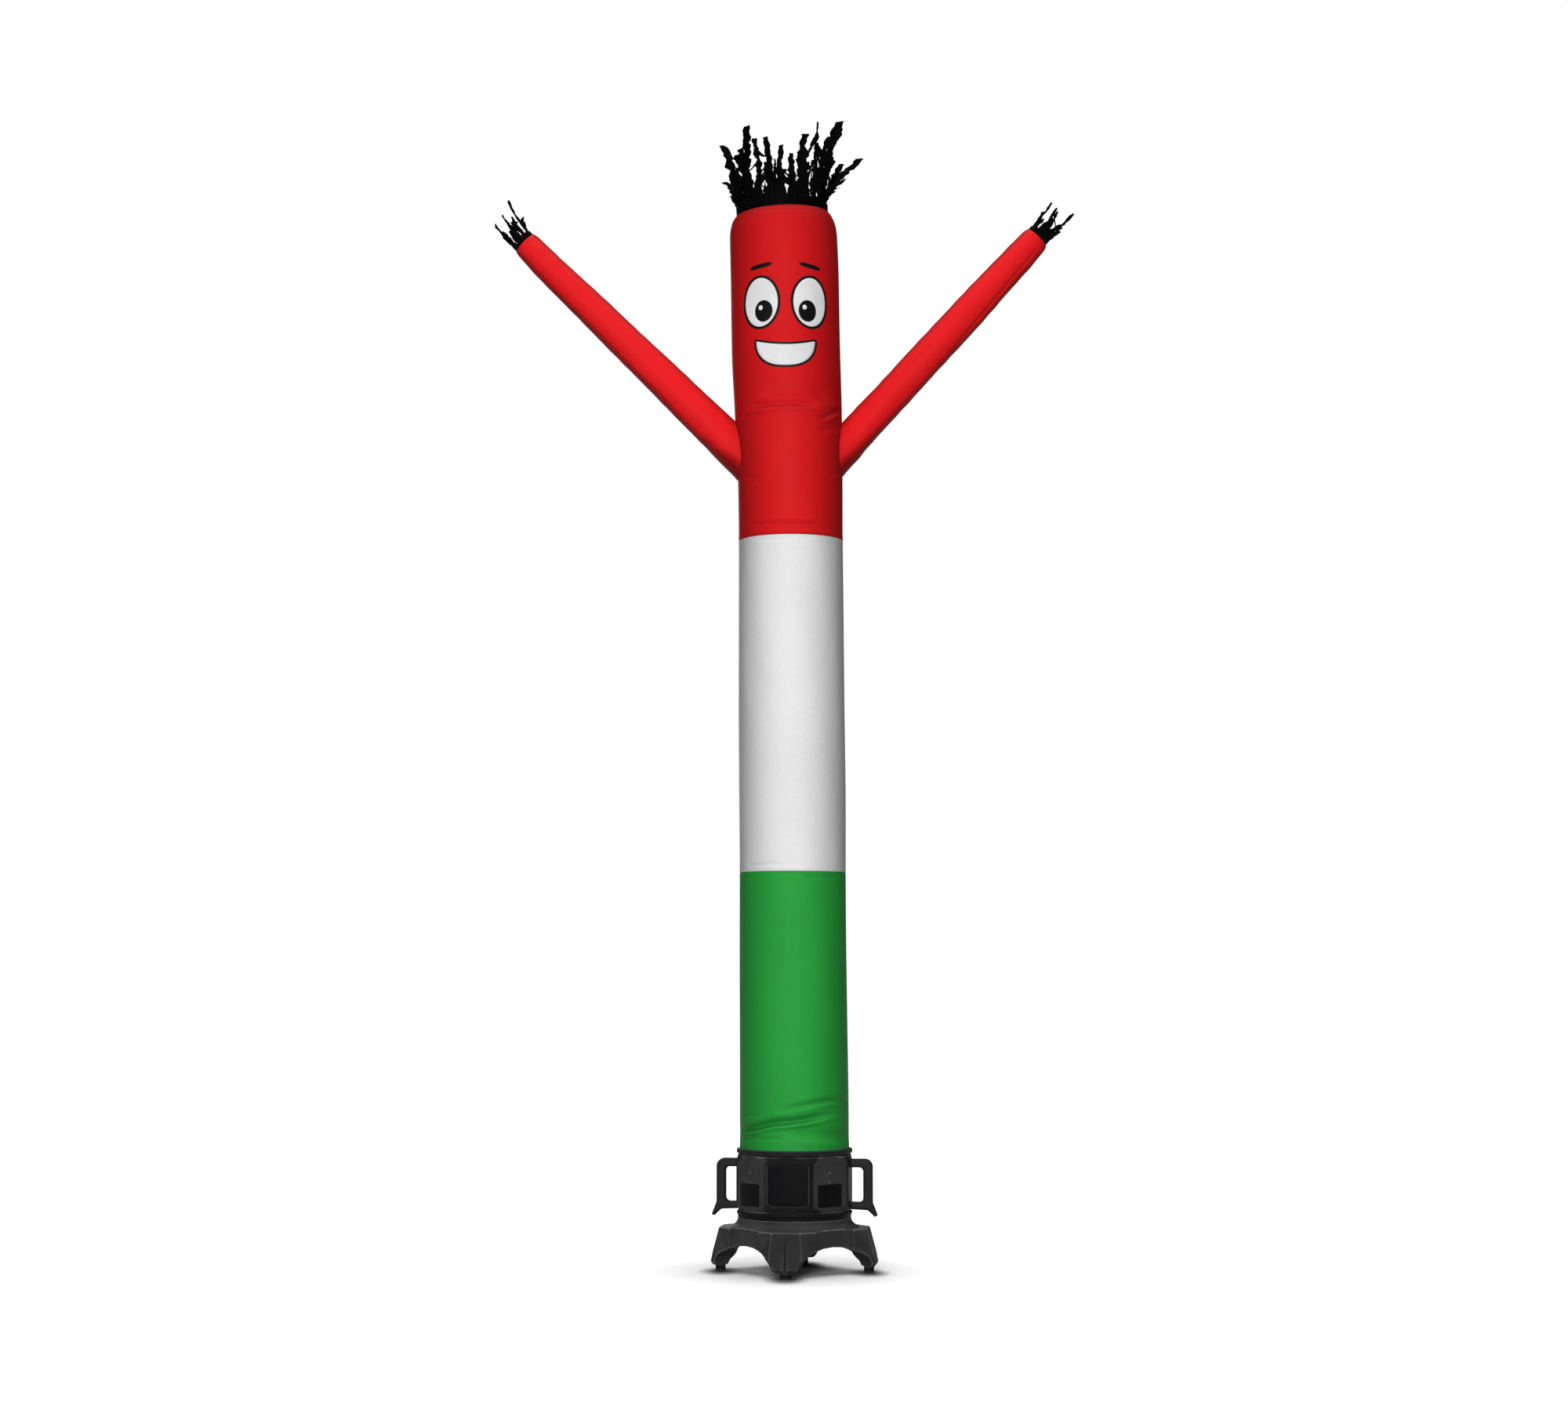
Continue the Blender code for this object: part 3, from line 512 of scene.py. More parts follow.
def clothMaterial(name, colour, side=nylon["side"], joined=None):
    # joined: the body's red, which the sleeve's painted lighter colour fades back to beside the body
    material, tree, shader, place = newMaterial(name, {"Specular IOR Level": nylon["shine"]})
    flat = put(tree, "ShaderNodeUVMap", uv_map="clothUV").outputs[0]
    scale, fine = nylon["cloud"]
    cloud = effect(tree, "cloud", Vector=place, Scale=scale, Fine=fine)
    woven = effect(tree, "weave", Vector=flat, Threads=nylon["threads"], Ripstop=nylon["ripstop"])
    extra = calc(tree, "SUBTRACT", woven, 0.4)
    varied = calc(tree, "MULTIPLY_ADD", extra, nylon["weaveShade"], cloud)
    plain = ramp(tree, varied, colour, nylon["tones"])
    if joined:
        plain = colourMix(tree, attribute(tree, "join"), plain, (*joined, 1))
        # painted shade: a sleeve's underside is darkened
        plain = vectorCalc(tree, "SCALE", plain, calc(tree, "SUBTRACT", 1.0, attribute(tree, "under")))
    # painted shade: cloth turned away from the eye, at the sides of a tube or sleeve, is darkened
    facing = put(tree, "ShaderNodeLayerWeight", {"Blend": 0.5}).outputs["Facing"]
    darker = ramp(tree, facing, (1, 1, 1), zip(nylon["turned"], (1, *side)))
    seen = colourMix(tree, 1.0, plain, darker, "MULTIPLY")
    feed(tree, shader, seen, calc(tree, "MULTIPLY_ADD", cloud, *nylon["rough"]))
    scale, detail, roughness = nylon["creases"]
    creased = noise(tree, place, scale, detail)
    creased.inputs["Roughness"].default_value = roughness
    soft = bumped(tree, shader, creased.outputs["Fac"], *nylon["creaseDepth"])
    bumped(tree, shader, woven, *nylon["weaveDepth"], soft)
    return material


finishes = {
    # one fixed input; scale and fineness of its clouding; where its colour is darkest and lightest, and
    # how much; how rough it is; how deep and strong its bumps are
    "ribbon": (
        "Specular IOR Level", 0.025, (14, 0.8), ((0.3, 0.6), (0.75, 1.5)), (0.2, 0.5), (0.0015, 0.6)
    ),
    "ink": ("Specular IOR Level", 0.12, (9, 0.6), ((0.3, 0.9), (0.7, 1)), (0.15, 0.38), (0.0006, 0.4)),
    "thread": ("Specular IOR Level", 0.08, (60, 0.5), ((0.3, 0.75), (0.7, 1)), (0.2, 0.5), None),
    "metal": ("Metallic", 1.0, (220, 0.7), ((0.3, 0.7), (0.7, 1)), (0.3, 0.2), None),
}


def plainMaterial(finish, name, colour):
    socket, value, (scale, fine), stops, rough, bump = finishes[finish]
    material, tree, shader, place = newMaterial(name, {socket: value})
    cloud = effect(tree, "cloud", Vector=place, Scale=scale, Fine=fine)
    feed(tree, shader, ramp(tree, cloud, colour, stops), calc(tree, "MULTIPLY_ADD", cloud, *rough))
    if bump:
        bumped(tree, shader, cloud, *bump)
    return material


moulded = {
    "cloud": (16.0, 0.9),
    "tones": ((0.25, 0.72), (0.5, 1.0), (0.8, 1.35)),
    "lighterEdgeFrom": 0.14,  # relief over this shows as a lighter edge, partly wear and partly a painted highlight
    "hollow": (-0.42, -0.07, 0.3),  # and under these painted shade darkens a hollow, down to a share
    "rough": 0.22,  # how much its roughness varies
    "grain": 0.6,
    "between": (0.78, 0.16),  # where the painted shade of the axes ends, and over how much
}


def plasticMaterial(name, colour, wornAndShiningColour, roughness, grainScale, grainDepth, shine):
    material, tree, shader, place = newMaterial(name, {"Specular IOR Level": shine})
    scale, fine = moulded["cloud"]
    cloud = effect(tree, "cloud", Vector=place, Scale=scale, Fine=fine)
    grain = effect(tree, "grain", Vector=place, Scale=grainScale)
    relief = attribute(tree, "relief")
    # lighter edges: partly wear, partly a painted highlight
    mask = effect(tree, "relief", Wear=relief, Vector=place, From=moulded["lighterEdgeFrom"])
    # painted shade: hollows, where the relief is low, are darkened
    hollow = mapped(tree, relief, *moulded["hollow"], kind="LINEAR")
    plain = ramp(tree, cloud, colour, moulded["tones"])
    # painted shade where the plastic faces along an axis, times the painted shade of hollows
    lit = calc(tree, "MULTIPLY", calc(tree, "SUBTRACT", 1.0, attribute(tree, "shade")), hollow)
    shaded = vectorCalc(tree, "SCALE", colourMix(tree, mask, plain, (*wornAndShiningColour, 1)), lit)
    varies = moulded["rough"]
    feed(tree, shader, shaded, calc(tree, "MULTIPLY_ADD", cloud, varies, roughness - varies / 2))
    bumped(tree, shader, grain, grainDepth, moulded["grain"])
    return material


colours = {
    "red": (0.66, 0.0085, 0.011),
    # painted light: the sleeves are the same red cloth, made lighter
    "sleeve": (0.785, 0.0105, 0.0138),
    "white": (0.78, 0.78, 0.78),
    "green": (0.021, 0.33, 0.046),
    "black": (0.0009, 0.0009, 0.0009),
    "redThread": (0.56, 0.0085, 0.011),
    "whiteThread": (0.64, 0.65, 0.65),
    "greenThread": (0.02, 0.3, 0.042),
    "inkBlack": (0.0035, 0.003, 0.003),
    "inkWhite": (0.8, 0.81, 0.81),
    "screwMetal": (0.16, 0.16, 0.165),
}
plastics = {  # name, colour, colour of its lighter edges, partly wear and partly a painted highlight, roughness, grain's scale and depth, shine
    "housing": (
        "housingPlastic", (0.0345, 0.0345, 0.0356), (0.135, 0.135, 0.138), 0.60, 620, 0.00020, 0.06
    ),
    "handle": (
        "handlePlastic", (0.0112, 0.0112, 0.0120), (0.045, 0.045, 0.046), 0.54, 900, 0.00012, 0.10
    ),
    "label": (
        "labelPlastic", (0.0034, 0.0034, 0.0040), (0.018, 0.018, 0.019), 0.50, 1500, 0.00003, 0.035
    ),
    "rubber": ("padRubber", (0.009, 0.009, 0.009), (0.03, 0.03, 0.03), 0.8, 700, 0.0001, 0.08),
}
materials = {
    "sleeveCloth": clothMaterial("sleeveCloth", colours["sleeve"], nylon["sleeve"], colours["red"]),
    "ribbon": plainMaterial("ribbon", "blackRibbon", colours["black"]),
    "screw": plainMaterial("metal", "screwMetal", colours["screwMetal"]),
}
for name in ("red", "white", "green"):
    cloth, thread = f"{name}Cloth", f"{name}Thread"
    materials[cloth] = clothMaterial(cloth, colours[name])
    materials[thread] = plainMaterial("thread", thread, colours[thread])
for name in ("inkBlack", "inkWhite"):
    materials[name] = plainMaterial("ink", name, colours[name])
for name, values in plastics.items():
    materials[name] = plasticMaterial(*values)
print("materials are made")


def markWear(mesh, rounds=0, strength=1.0, reach=0.004):
    # how far each point stands out from its neighbours, for lighter edges, partly wear and partly a
    # painted highlight, and for painted shade in hollows
    place, normal, count = pointsOf(mesh), normalsOf(mesh), len(mesh.vertices)
    ends = np.empty(len(mesh.edges) * 2, np.int32)
    mesh.edges.foreach_get("vertices", ends)
    first, second = ends.reshape(-1, 2).T
    along = place[second] - place[first]
    along /= np.maximum((along**2).sum(1), 1e-12)[:, None]
    total = np.zeros(count)
    np.add.at(total, first, -(normal[first] * along).sum(1))
    np.add.at(total, second, (normal[second] * along).sum(1))
    number = np.maximum(np.bincount(ends, minlength=count), 1)
    value = total * reach / number
    for _ in range(rounds):
        beside = np.bincount(first, value[second], count) + np.bincount(second, value[first], count)
        value = (value + 2 * beside / number) / 3
    mark(mesh, "relief", value * strength)


def markShade(mesh, deepest, level, above):
    # painted shade: plastic that faces straight out along an axis of the blower is painted darker than
    # what is between, and above a level it is all one painted shade
    place, across = pointsOf(mesh), normalsOf(mesh)[:, :2]
    out = place[:, :2] - (blowerX, 0)
    out /= np.maximum(np.hypot(*out.T), 1e-6)[:, None]
    facing = np.clip((across * out).sum(1), 0, 1)
    turn = np.arctan2(across[:, 1], across[:, 0])
    start, blend = moulded["between"]
    between = smoothStep((np.abs(np.sin(2 * turn)) - start) / blend)
    value = deepest * facing**2 * (1 - between)
    mark(mesh, "shade", np.where(place[:, 2] > level, above, value))


# the cloth tube

tube = {
    "form": (  # height, lean of its centre, outer radius
        (0.3223, 0.0, 0.1524), (0.481, -0.001, 0.152), (0.7, -0.003, 0.151), (1.112, -0.005, 0.15),
        (1.364, -0.006, 0.151), (1.812, -0.009, 0.149), (2.059, -0.01, 0.148), (2.2, -0.011, 0.149),
        (2.447, -0.018, 0.154), (2.607, -0.024, 0.156), (2.837, -0.028, 0.156), (2.935, -0.031, 0.155),
        (2.96, -0.032, 0.1535), (2.98, -0.033, 0.149), (2.995, -0.034, 0.1425), (3.006, -0.034, 0.1345),
    ),
    "foot": 0.3223,
    "greenTop": 1.112,
    "whiteTop": 2.059,
    "hem": 3.006,
    "tiltFrom": 2.84,
    "tilt": math.radians(2.8),
    "girthRadius": 0.151,  # its usual radius, for lengths round it
    "cloth": 0.0008,
    "seamGap": 0.0003,
    "seamAt": math.radians(90),  # the seam up the back
    "seamBand": 0.006,  # half its width
    "columns": 196,
    "hemBand": 0.016,
    "footBand": 0.036,
}
# folds: depth, half width, then the angles and heights that each runs through; -90 is the front
mainFolds = (
    (0.0104, 0.0096, (
        (-206, 0.385), (-166, 0.3915), (-135, 0.402), (-112, 0.4155), (-95, 0.42),
        (-63, 0.432), (-38, 0.441),
    )),
    (0.0044, 0.008, (
        (-112, 0.448), (-84, 0.462), (-63, 0.472), (-45, 0.4765), (-16, 0.4715), (8, 0.474),
    )),
    (0.0046, 0.017, ((-104, 0.392), (-74, 0.384), (-30, 0.372), (-4, 0.366))),
    (0.003, 0.011, ((-196, 0.372), (-160, 0.374), (-126, 0.38))),
    (0.006, 0.012, ((40, 0.41), (90, 0.398), (138, 0.392))),
    (0.004, 0.011, ((52, 0.448), (90, 0.464), (124, 0.47))),
    (0.0078, 0.0105, ((-142, 2.422), (-126, 2.4255), (-93, 2.4285), (-50, 2.4265))),
    (0.0058, 0.021, ((-128, 2.456), (-90, 2.46), (-30, 2.45))),
    (0.005, 0.009, ((-58, 2.392), (-48, 2.397), (-39, 2.407), (-26, 2.42), (-6, 2.428))),
    (0.0024, 0.017, ((-56, 2.36), (-40, 2.368), (-18, 2.378))),
    (0.0045, 0.014, ((66, 2.438), (110, 2.45), (152, 2.46))),
    (0.0036, 0.0055, ((-152, 2.0915), (-96, 2.0905), (-40, 2.089))),
    (0.0022, 0.008, ((20, 2.09), (90, 2.0935), (160, 2.094))),
)
smallCreases = (
    (0.0016, 0.005, ((-172, 0.432), (-126, 0.438))), (0.0014, 0.005, ((-156, 0.37), (-98, 0.375))),
    (0.0012, 0.006, ((-58, 0.42), (-20, 0.412), (4, 0.414))),
    (0.0026, 0.007, ((92, 0.384), (168, 0.402))), (0.0022, 0.007, ((14, 0.44), (78, 0.428))),
    (0.0012, 0.006, ((-158, 2.404), (-112, 2.399))), (0.0016, 0.009, ((-172, 2.262), (-118, 2.2))),
    (0.0016, 0.009, ((-6, 2.272), (-52, 2.214))), (0.002, 0.008, ((96, 2.418), (170, 2.398))),
    (0.0024, 0.009, ((10, 2.47), (82, 2.492))), (0.001, 0.005, ((-150, 1.128), (-96, 1.131))),
    (0.001, 0.005, ((-86, 1.094), (-24, 1.097))), (0.0008, 0.005, ((-140, 2.044), (-60, 2.041))),
)
crease = {
    "ridge": 0.4,  # share of a fold's depth that stands up beside it, and how far off
    "ridgeAt": 1.75,
    "farRidge": 0.4,  # its share on the upper side
    "above": 0.8,
    "below": 1.55,
    "ends": 4,  # over one part in this many, a fold fades at each end
    "atSide": 0.08,
    "side": (0.9, 0.09),
}
pucker = {"waves": (31, 47, 58, 73, 96), "strength": 1.8, "height": 0.00042, "seed": 5}
seam = {
    "puckers": (  # seed, share of the height and reach, at the green and white seams and both hems
        (0, 1, 0.013), (1, 1, 0.013), (7, 0.8, 0.01), (9, 1, 0.012),
    ),
    "pinch": (0.0012, 0.0018),  # how deep the cloth is drawn in at a seam, and half its width
    "roll": (0.0004, 0.0012, 0.0095, 0.0042),  # over the white seam: height, more in front, place, width
    "front": (262, 75, 40),  # the front's middle, half width and edge, in degrees
    "double": (0.0005, 0.002),  # how far a hem stands out, and its edge
    "hemStitch": (0.0005, 0.003, 0.0014),  # depth, place and half width of the dent under its stitches
    "band": (0.0006, 0.0015),  # how far the back seam stands out, and its edge
    "ripple": (0.0004, 0.014, 0.031, 0.187),  # beside the back seam: height, reach, two wavelengths
}


def foldDepth(angle, height):
    # soft from above and tighter below, as cloth hangs over itself, and pulled flatter at the sides
    depth = np.zeros(np.broadcast(angle, height).shape)
    for deep, half, path in (*mainFolds, *smallCreases):
        path = sorted(path)
        first, last = math.radians(path[0][0]), math.radians(path[-1][0])
        for turned in (angle - math.tau, angle):
            share = (turned - first) / (last - first)
            away = (height - readForm(path, 1, np.degrees(turned))) / half
            away = np.where(away > 0, away * crease["above"], away * crease["below"])
            fade = smoothStep(crease["ends"] * share) * smoothStep(crease["ends"] * (1 - share))
            shape = bell(away, 1) - crease["ridge"] * bell(away + crease["ridgeAt"], 1)
            far = crease["ridge"] * crease["farRidge"]
            depth = depth + deep * fade * (shape - far * bell(away - crease["ridgeAt"], 1))
    start, blend = crease["side"]
    side = smoothStep((np.abs(np.cos(angle)) - start) / blend)
    return depth * (1 - (1 - crease["atSide"]) * side)


def puckers(angle, seed):
    random = np.random.default_rng(seed)
    waves = [np.sin(wave * angle + random.uniform(0, math.tau)) for wave in pucker["waves"]]
    return sum(waves) / len(waves) * pucker["strength"]


def seamShape(angle, height):
    # seams draw the cloth in and pucker it, hems and the back seam lie double
    fromGreen, fromWhite = height - tube["greenTop"], height - tube["whiteTop"]
    below = tube["hem"] - height - tube["hemBand"]
    above = height - tube["foot"] - tube["footBand"]
    deep, half = seam["pinch"]
    move = -deep * (bell(fromGreen, half) + bell(fromWhite, half))
    for away, (seed, share, reach) in zip((fromGreen, fromWhite, below, above), seam["puckers"]):
        gathered = puckers(angle, pucker["seed"] + seed) * pucker["height"] * share
        move = move + gathered * bell(away, reach)
    middle, half, edge = seam["front"]
    front = smoothStep((half - np.abs(np.degrees(angle) % 360 - middle)) / edge)
    high, more, place, half = seam["roll"]
    move = move + (high + more * front) * bell(fromWhite - place, half)
    high, edge = seam["double"]
    move = move + high * (smoothStep(-below / edge) + smoothStep(-above / edge))
    deep, place, half = seam["hemStitch"]
    move = move - deep * bell(below + place, half)
    beside = np.abs(wrapped(angle - tube["seamAt"])) * tube["girthRadius"]
    high, edge = seam["band"]
    band = high * smoothStep((tube["seamBand"] - beside) / edge)
    high, reach, *lengths = seam["ripple"]
    short, long = (np.sin(height * math.tau / length) for length in lengths)
    return move + band + high * (short * long) * bell(beside, reach)


def unevenness(angle, height):
    # blown-up cloth is never quite round
    slow = 0.0007 * np.sin(2 * angle + 1.1 + 1.7 * height) * np.sin(2.3 * height + 0.4)
    middle = 0.00035 * np.sin(5 * angle - 3.1 * height) * np.sin(5.9 * height + 1.3)
    return slow + middle + 0.0002 * np.sin(9 * angle + 11 * height + 0.7)


def tubeRadius(angle, height):
    radius = readForm(tube["form"], 2, height)
    return radius - foldDepth(angle, height) + seamShape(angle, height) + unevenness(angle, height)


def tubeSurface(angle, height, proud=0.0):
    radius = tubeRadius(angle, height) + proud
    across = radius * np.cos(angle)
    share = (height - tube["tiltFrom"]) / (tube["hem"] - tube["tiltFrom"])
    tilt = smoothStep(share) * math.tan(tube["tilt"])
    x = blowerX + readForm(tube["form"], 1, height) + across
    return np.stack(np.broadcast_arrays(x, radius * np.sin(angle), height + across * tilt), -1)


def tubeColumns():
    # close together at the back seam, even elsewhere
    near = np.array([0.0, 0.0015, 0.003, 0.0045, 0.006, 0.0075, 0.0095, 0.0125, 0.0165])
    near /= tube["girthRadius"]
    far = np.linspace(near[-1], math.tau - near[-1], tube["columns"])
    return tube["seamAt"] - math.tau + np.concatenate([near[:-1], far, math.tau - near[-2:0:-1]])


def besideSeam(level):
    # stretches of close rings under and over a seam
    return (level - 0.006, level, 0.0012), (level + tube["seamGap"], level + 0.006, 0.0012)


underGreen, overGreen = besideSeam(tube["greenTop"])
underWhite, overWhite = besideSeam(tube["whiteTop"])
sections = {  # colour, then stretches of height with their longest steps
    "greenSection": ("green", (
        (tube["foot"], 0.352, 0.0035),
        (0.352, 0.515, 0.0028), (0.515, 0.7, 0.011), (0.7, 1.08, 0.018),
        (1.08, underGreen[0], 0.003),
        underGreen,
    )),
    "whiteSection": ("white", (
        overGreen,
        (overGreen[1], 1.144, 0.003),
        (1.144, 2.026, 0.018),
        (2.026, underWhite[0], 0.003),
        underWhite,
    )),
    "redSection": ("red", (
        overWhite,
        (overWhite[1], 2.11, 0.0025),
        (2.11, 2.18, 0.01), (2.18, 2.37, 0.0055), (2.37, 2.505, 0.0036), (2.505, 2.84, 0.012),
        (2.84, 2.96, 0.006),
        (2.960, tube["hem"], 0.0022),
    )),
}


# the sleeves, from the hand to the shoulder

arms = {  # hand and shoulder in X and Z from the blower's axis
    "leftArm": {
        "hand": (-0.776, 2.926),
        "shoulder": (-0.167, 2.327),
        "node": "arm_left",
        "column": 1,  # its radius in the sleeve's form
        "seed": 21,
        "lower": 0.0018,  # its middle lies this much under the straight line
        "crease": (0.0014, 0.004, ((0.04, -28), (0.3, -24), (0.52, -27), (0.7, -32))),
    },
    "rightArm": {
        "hand": (0.699, 2.943),
        "shoulder": (0.137, 2.326),
        "node": "arm_right",
        "column": 2,
        "seed": 33,
        "lower": 0.0006,
        "crease": (0.0024, 0.0045, ((0.01, -130), (0.15, -134), (0.3, -142), (0.47, -152))),
    },
}
sleeve = {
    "form": (  # distance from the hand hem, outer radius of the left and of the right
        (0.0, 0.037, 0.037), (0.02, 0.0395, 0.041), (0.06, 0.0415, 0.0432), (0.18, 0.0446, 0.0459),
        (0.3, 0.0474, 0.0487), (0.46, 0.0502, 0.0494), (0.62, 0.0535, 0.0499), (0.74, 0.0556, 0.0506),
        (0.85, 0.0585, 0.053), (0.95, 0.06, 0.055),
    ),
    "shares": ((0, 0.03, 0.003), (0.03, 0.75, 0.012), (0.75, 0.985, 0.007), (0.985, 1, 0.0025)),
    "meets": (0.55, 0.949),  # distances between which it meets the body
    "reach": (0.4, 0.96),  # and between which it can cut its hole
    "rim": 0.02,  # points of the body's grid this close to the hole move onto it
    "girthRadius": 0.048,
    "columns": 78,
    "hemBand": 0.014,
    "pucker": (0.0005, 0.012),  # height and reach of the gathers at its hem
    "double": (0.0005, 0.002),  # how far its hem stands out, and its edge
    "soft": 0.0008,
    "ripple": (0.0005, 0.062, 0.35),  # height and two wavelengths along it
    "lowerFrom": 0.1,
    "gathers": (0.0012, 0.012, 0.016, 0.05),  # at the body: height, place, half width, fade
    "bulge": (0.0012, 0.07, 0.03),  # before them: height, place, half width
    "welt": (0.0006, 0.004, 0.0035),  # the set-in seam: height, place, half width
    "seamAt": math.radians(90),
    "band": (0.0006, 0.005, 0.0015),  # how far its own seam stands out, half its width, its edge
    "holeInset": 0.0008,
    "blend": 0.075,  # how far its painted lighter colour fades from the body
    "underFrom": 0.42,  # how far a face looks down before painted shade darkens its colour
    "underSooner": (0.26, 0.22),  # less than that near the body, and from how near
    "underBlend": 0.34,
    "underPaintedShade": 0.66,
}


def armFrame(arm):
    # Z runs from the hand to the shoulder, Y to the back
    hand, shoulder = (Vector((blowerX + arm[end][0], 0, arm[end][1])) for end in ("hand", "shoulder"))
    along = (shoulder - hand).normalized()
    across = Vector((0, 1, 0))
    turn = Matrix((across.cross(along), across, along)).transposed().to_4x4()
    return np.array(Matrix.Translation(hand) @ turn)


def armRadius(arm, angle, distance):
    seed = arm["seed"]
    radius = readForm(sleeve["form"], arm["column"], distance)
    under = math.copysign(arm["lower"], -arm["shoulder"][0])
    radius = radius + under * np.cos(angle) * smoothStep(distance / sleeve["lowerFrom"])
    high, reach = sleeve["pucker"]
    radius = radius + high * puckers(angle, seed) * bell(distance - sleeve["hemBand"], reach)
    high, edge = sleeve["double"]
    radius = radius + high * smoothStep((sleeve["hemBand"] - distance) / edge)
    soft = np.sin(3 * angle + 9 * distance + seed) * np.sin(13 * distance + 0.5 * seed)
    high, *lengths = sleeve["ripple"]
    short, long = (np.sin(distance * math.tau / length) for length in lengths)
    ripple = np.sin(2 * angle + seed) * short
    radius = radius + sleeve["soft"] * soft + high * ripple * long
    deep, half, path = arm["crease"]
    beside = wrapped(angle - np.radians(readForm(path, 1, distance))) * sleeve["girthRadius"]
    share = (distance - path[0][0]) / (path[-1][0] - path[0][0])
    radius = radius - deep * smoothStep(8 * share) * smoothStep(3 * (1 - share)) * bell(beside, half)
    beside = np.abs(wrapped(angle - sleeve["seamAt"])) * sleeve["girthRadius"]
    high, half, edge = sleeve["band"]
    return radius + high * smoothStep((half - beside) / edge)


def armPlace(arm, angle, distance, proud=0.0):
    radius = armRadius(arm, angle, distance) + proud
    local = np.broadcast_arrays(radius * np.cos(angle), radius * np.sin(angle), distance)
    return placed(np.stack(local, -1), armFrame(arm))


def outsideTube(points):
    # how far points at arm height lie outside the tube
    x = points[..., 0] - blowerX - readForm(tube["form"], 1, points[..., 2])
    angle = np.arctan2(points[..., 1], x)
    angle = np.where(angle > tube["seamAt"], angle - math.tau, angle)
    return np.hypot(x, points[..., 1]) - tubeRadius(angle, points[..., 2])


def armEnds(arm, angle):
    # distance along the sleeve at which it meets the body
    low, high = (np.full(angle.shape, distance) for distance in sleeve["meets"])
    return bisected(low, high, lambda middle: outsideTube(armPlace(arm, angle, middle)) > 0)


def outsideArm(arm, points):
    # how far points near the shoulder lie outside the sleeve's hole
    x, y, distance = np.moveaxis(unplaced(points, armFrame(arm)), -1, 0)
    rim = armRadius(arm, np.arctan2(y, x), distance) - sleeve["holeInset"]
    low, high = sleeve["reach"]
    return np.where((distance > low) & (distance < high), np.hypot(x, y) - rim, 1.0)


def armHole(points, angle, height):
    # trims the body's grid to the sleeves: faces inside go, and the points at the rim move onto it
    keep = np.ones((points.shape[0] - 1, points.shape[1]), bool)
    for arm in arms.values():
        gap = outsideArm(arm, points)
        out = gap > 0
        ahead = np.roll(out, -1, axis=1)
        keep &= out[:-1] | ahead[:-1] | out[1:] | ahead[1:]
        side = 0.0 if arm["shoulder"][0] > 0 else -math.pi
        turn = np.linspace(0, math.tau, 60)
        centre = armPlace(arm, turn, armEnds(arm, turn))[:, 2].mean()
        rim = ~out & (np.abs(gap) < sleeve["rim"])
        fromAngle, fromHeight = angle[rim] - side, height[rim] - centre

        def moved(share):
            return tubeSurface(side + fromAngle * share, centre + fromHeight * share)

        low, high = np.ones(fromAngle.shape), np.full(fromAngle.shape, 3.0)
        points[rim] = moved(bisected(low, high, lambda share: outsideArm(arm, moved(share)) < 0))
    return keep


def makeSections():
    pieces = {}
    for name, (colour, stretches) in sections.items():
        levels = spaced(stretches)
        angle, height = np.meshgrid(around, levels)
        points = tubeSurface(angle, height)
        keep = armHole(points, angle, height) if colour == "red" else None
        u = np.append(around, around[0] + math.tau) * tube["girthRadius"]
        piece = solidified(linked(name, gridMesh(name, points, u, levels, keep)), tube["cloth"])
        pieces[name] = dress(piece, f"{colour}Cloth", f"{colour}_cloth", f"tube_{colour}")
    return pieces


def markJoin(mesh, arm):
    # join: 1 at the seam to the body, 0 a little way down the sleeve, where its painted lighter colour
    # takes over; under: how dark the painted shade on its underside is
    x, y, distance = unplaced(pointsOf(mesh), armFrame(arm)).T
    before = armEnds(arm, np.arctan2(y, x)) - distance
    sooner, near = sleeve["underSooner"]
    start = sleeve["underFrom"] - sooner * smoothStep(1 - before / near)
    facing = smoothStep((-normalsOf(mesh)[:, 2] - start) / sleeve["underBlend"])
    mark(mesh, "join", smoothStep(1 - before / sleeve["blend"]))
    mark(mesh, "under", facing * sleeve["underPaintedShade"])


def makeSleeves():
    pieces = {}
    for name, arm in arms.items():
        angle = sleeve["seamAt"] + np.linspace(0, math.tau, sleeve["columns"], endpoint=False)
        ends = armEnds(arm, angle)
        shares = spaced(sleeve["shares"])
        grid, share = np.meshgrid(angle, shares)
        before = ends - share * ends
        high, place, half, fade = sleeve["gathers"]
        folds = high * puckers(grid, arm["seed"] + 4) * bell(before - place, half)
        folds = folds * smoothStep(before / fade)
        high, place, half = sleeve["bulge"]
        folds = folds + high * np.sin(2 * grid + arm["seed"]) * bell(before - place, half)
        high, place, half = sleeve["welt"]
        welt = high * bell(before - place, half)
        points = armPlace(arm, grid, share * ends, folds + welt)[:, ::-1]
        u = np.append(angle, angle[0] + math.tau)[::-1] * sleeve["girthRadius"]
        mesh = gridMesh(name, points, u, shares * float(ends.mean()))
        with edited(mesh) as bm:
            faceOutwards(bm)
        markJoin(mesh, arm)
        piece = solidified(linked(name, mesh), tube["cloth"])
        pieces[name] = dress(piece, "sleeveCloth", "red_cloth", arm["node"])
    return pieces


around = tubeColumns()
cloths = makeSections() | makeSleeves()
print("cloth sections and sleeves are made")


# stitches, along paths on the cloth

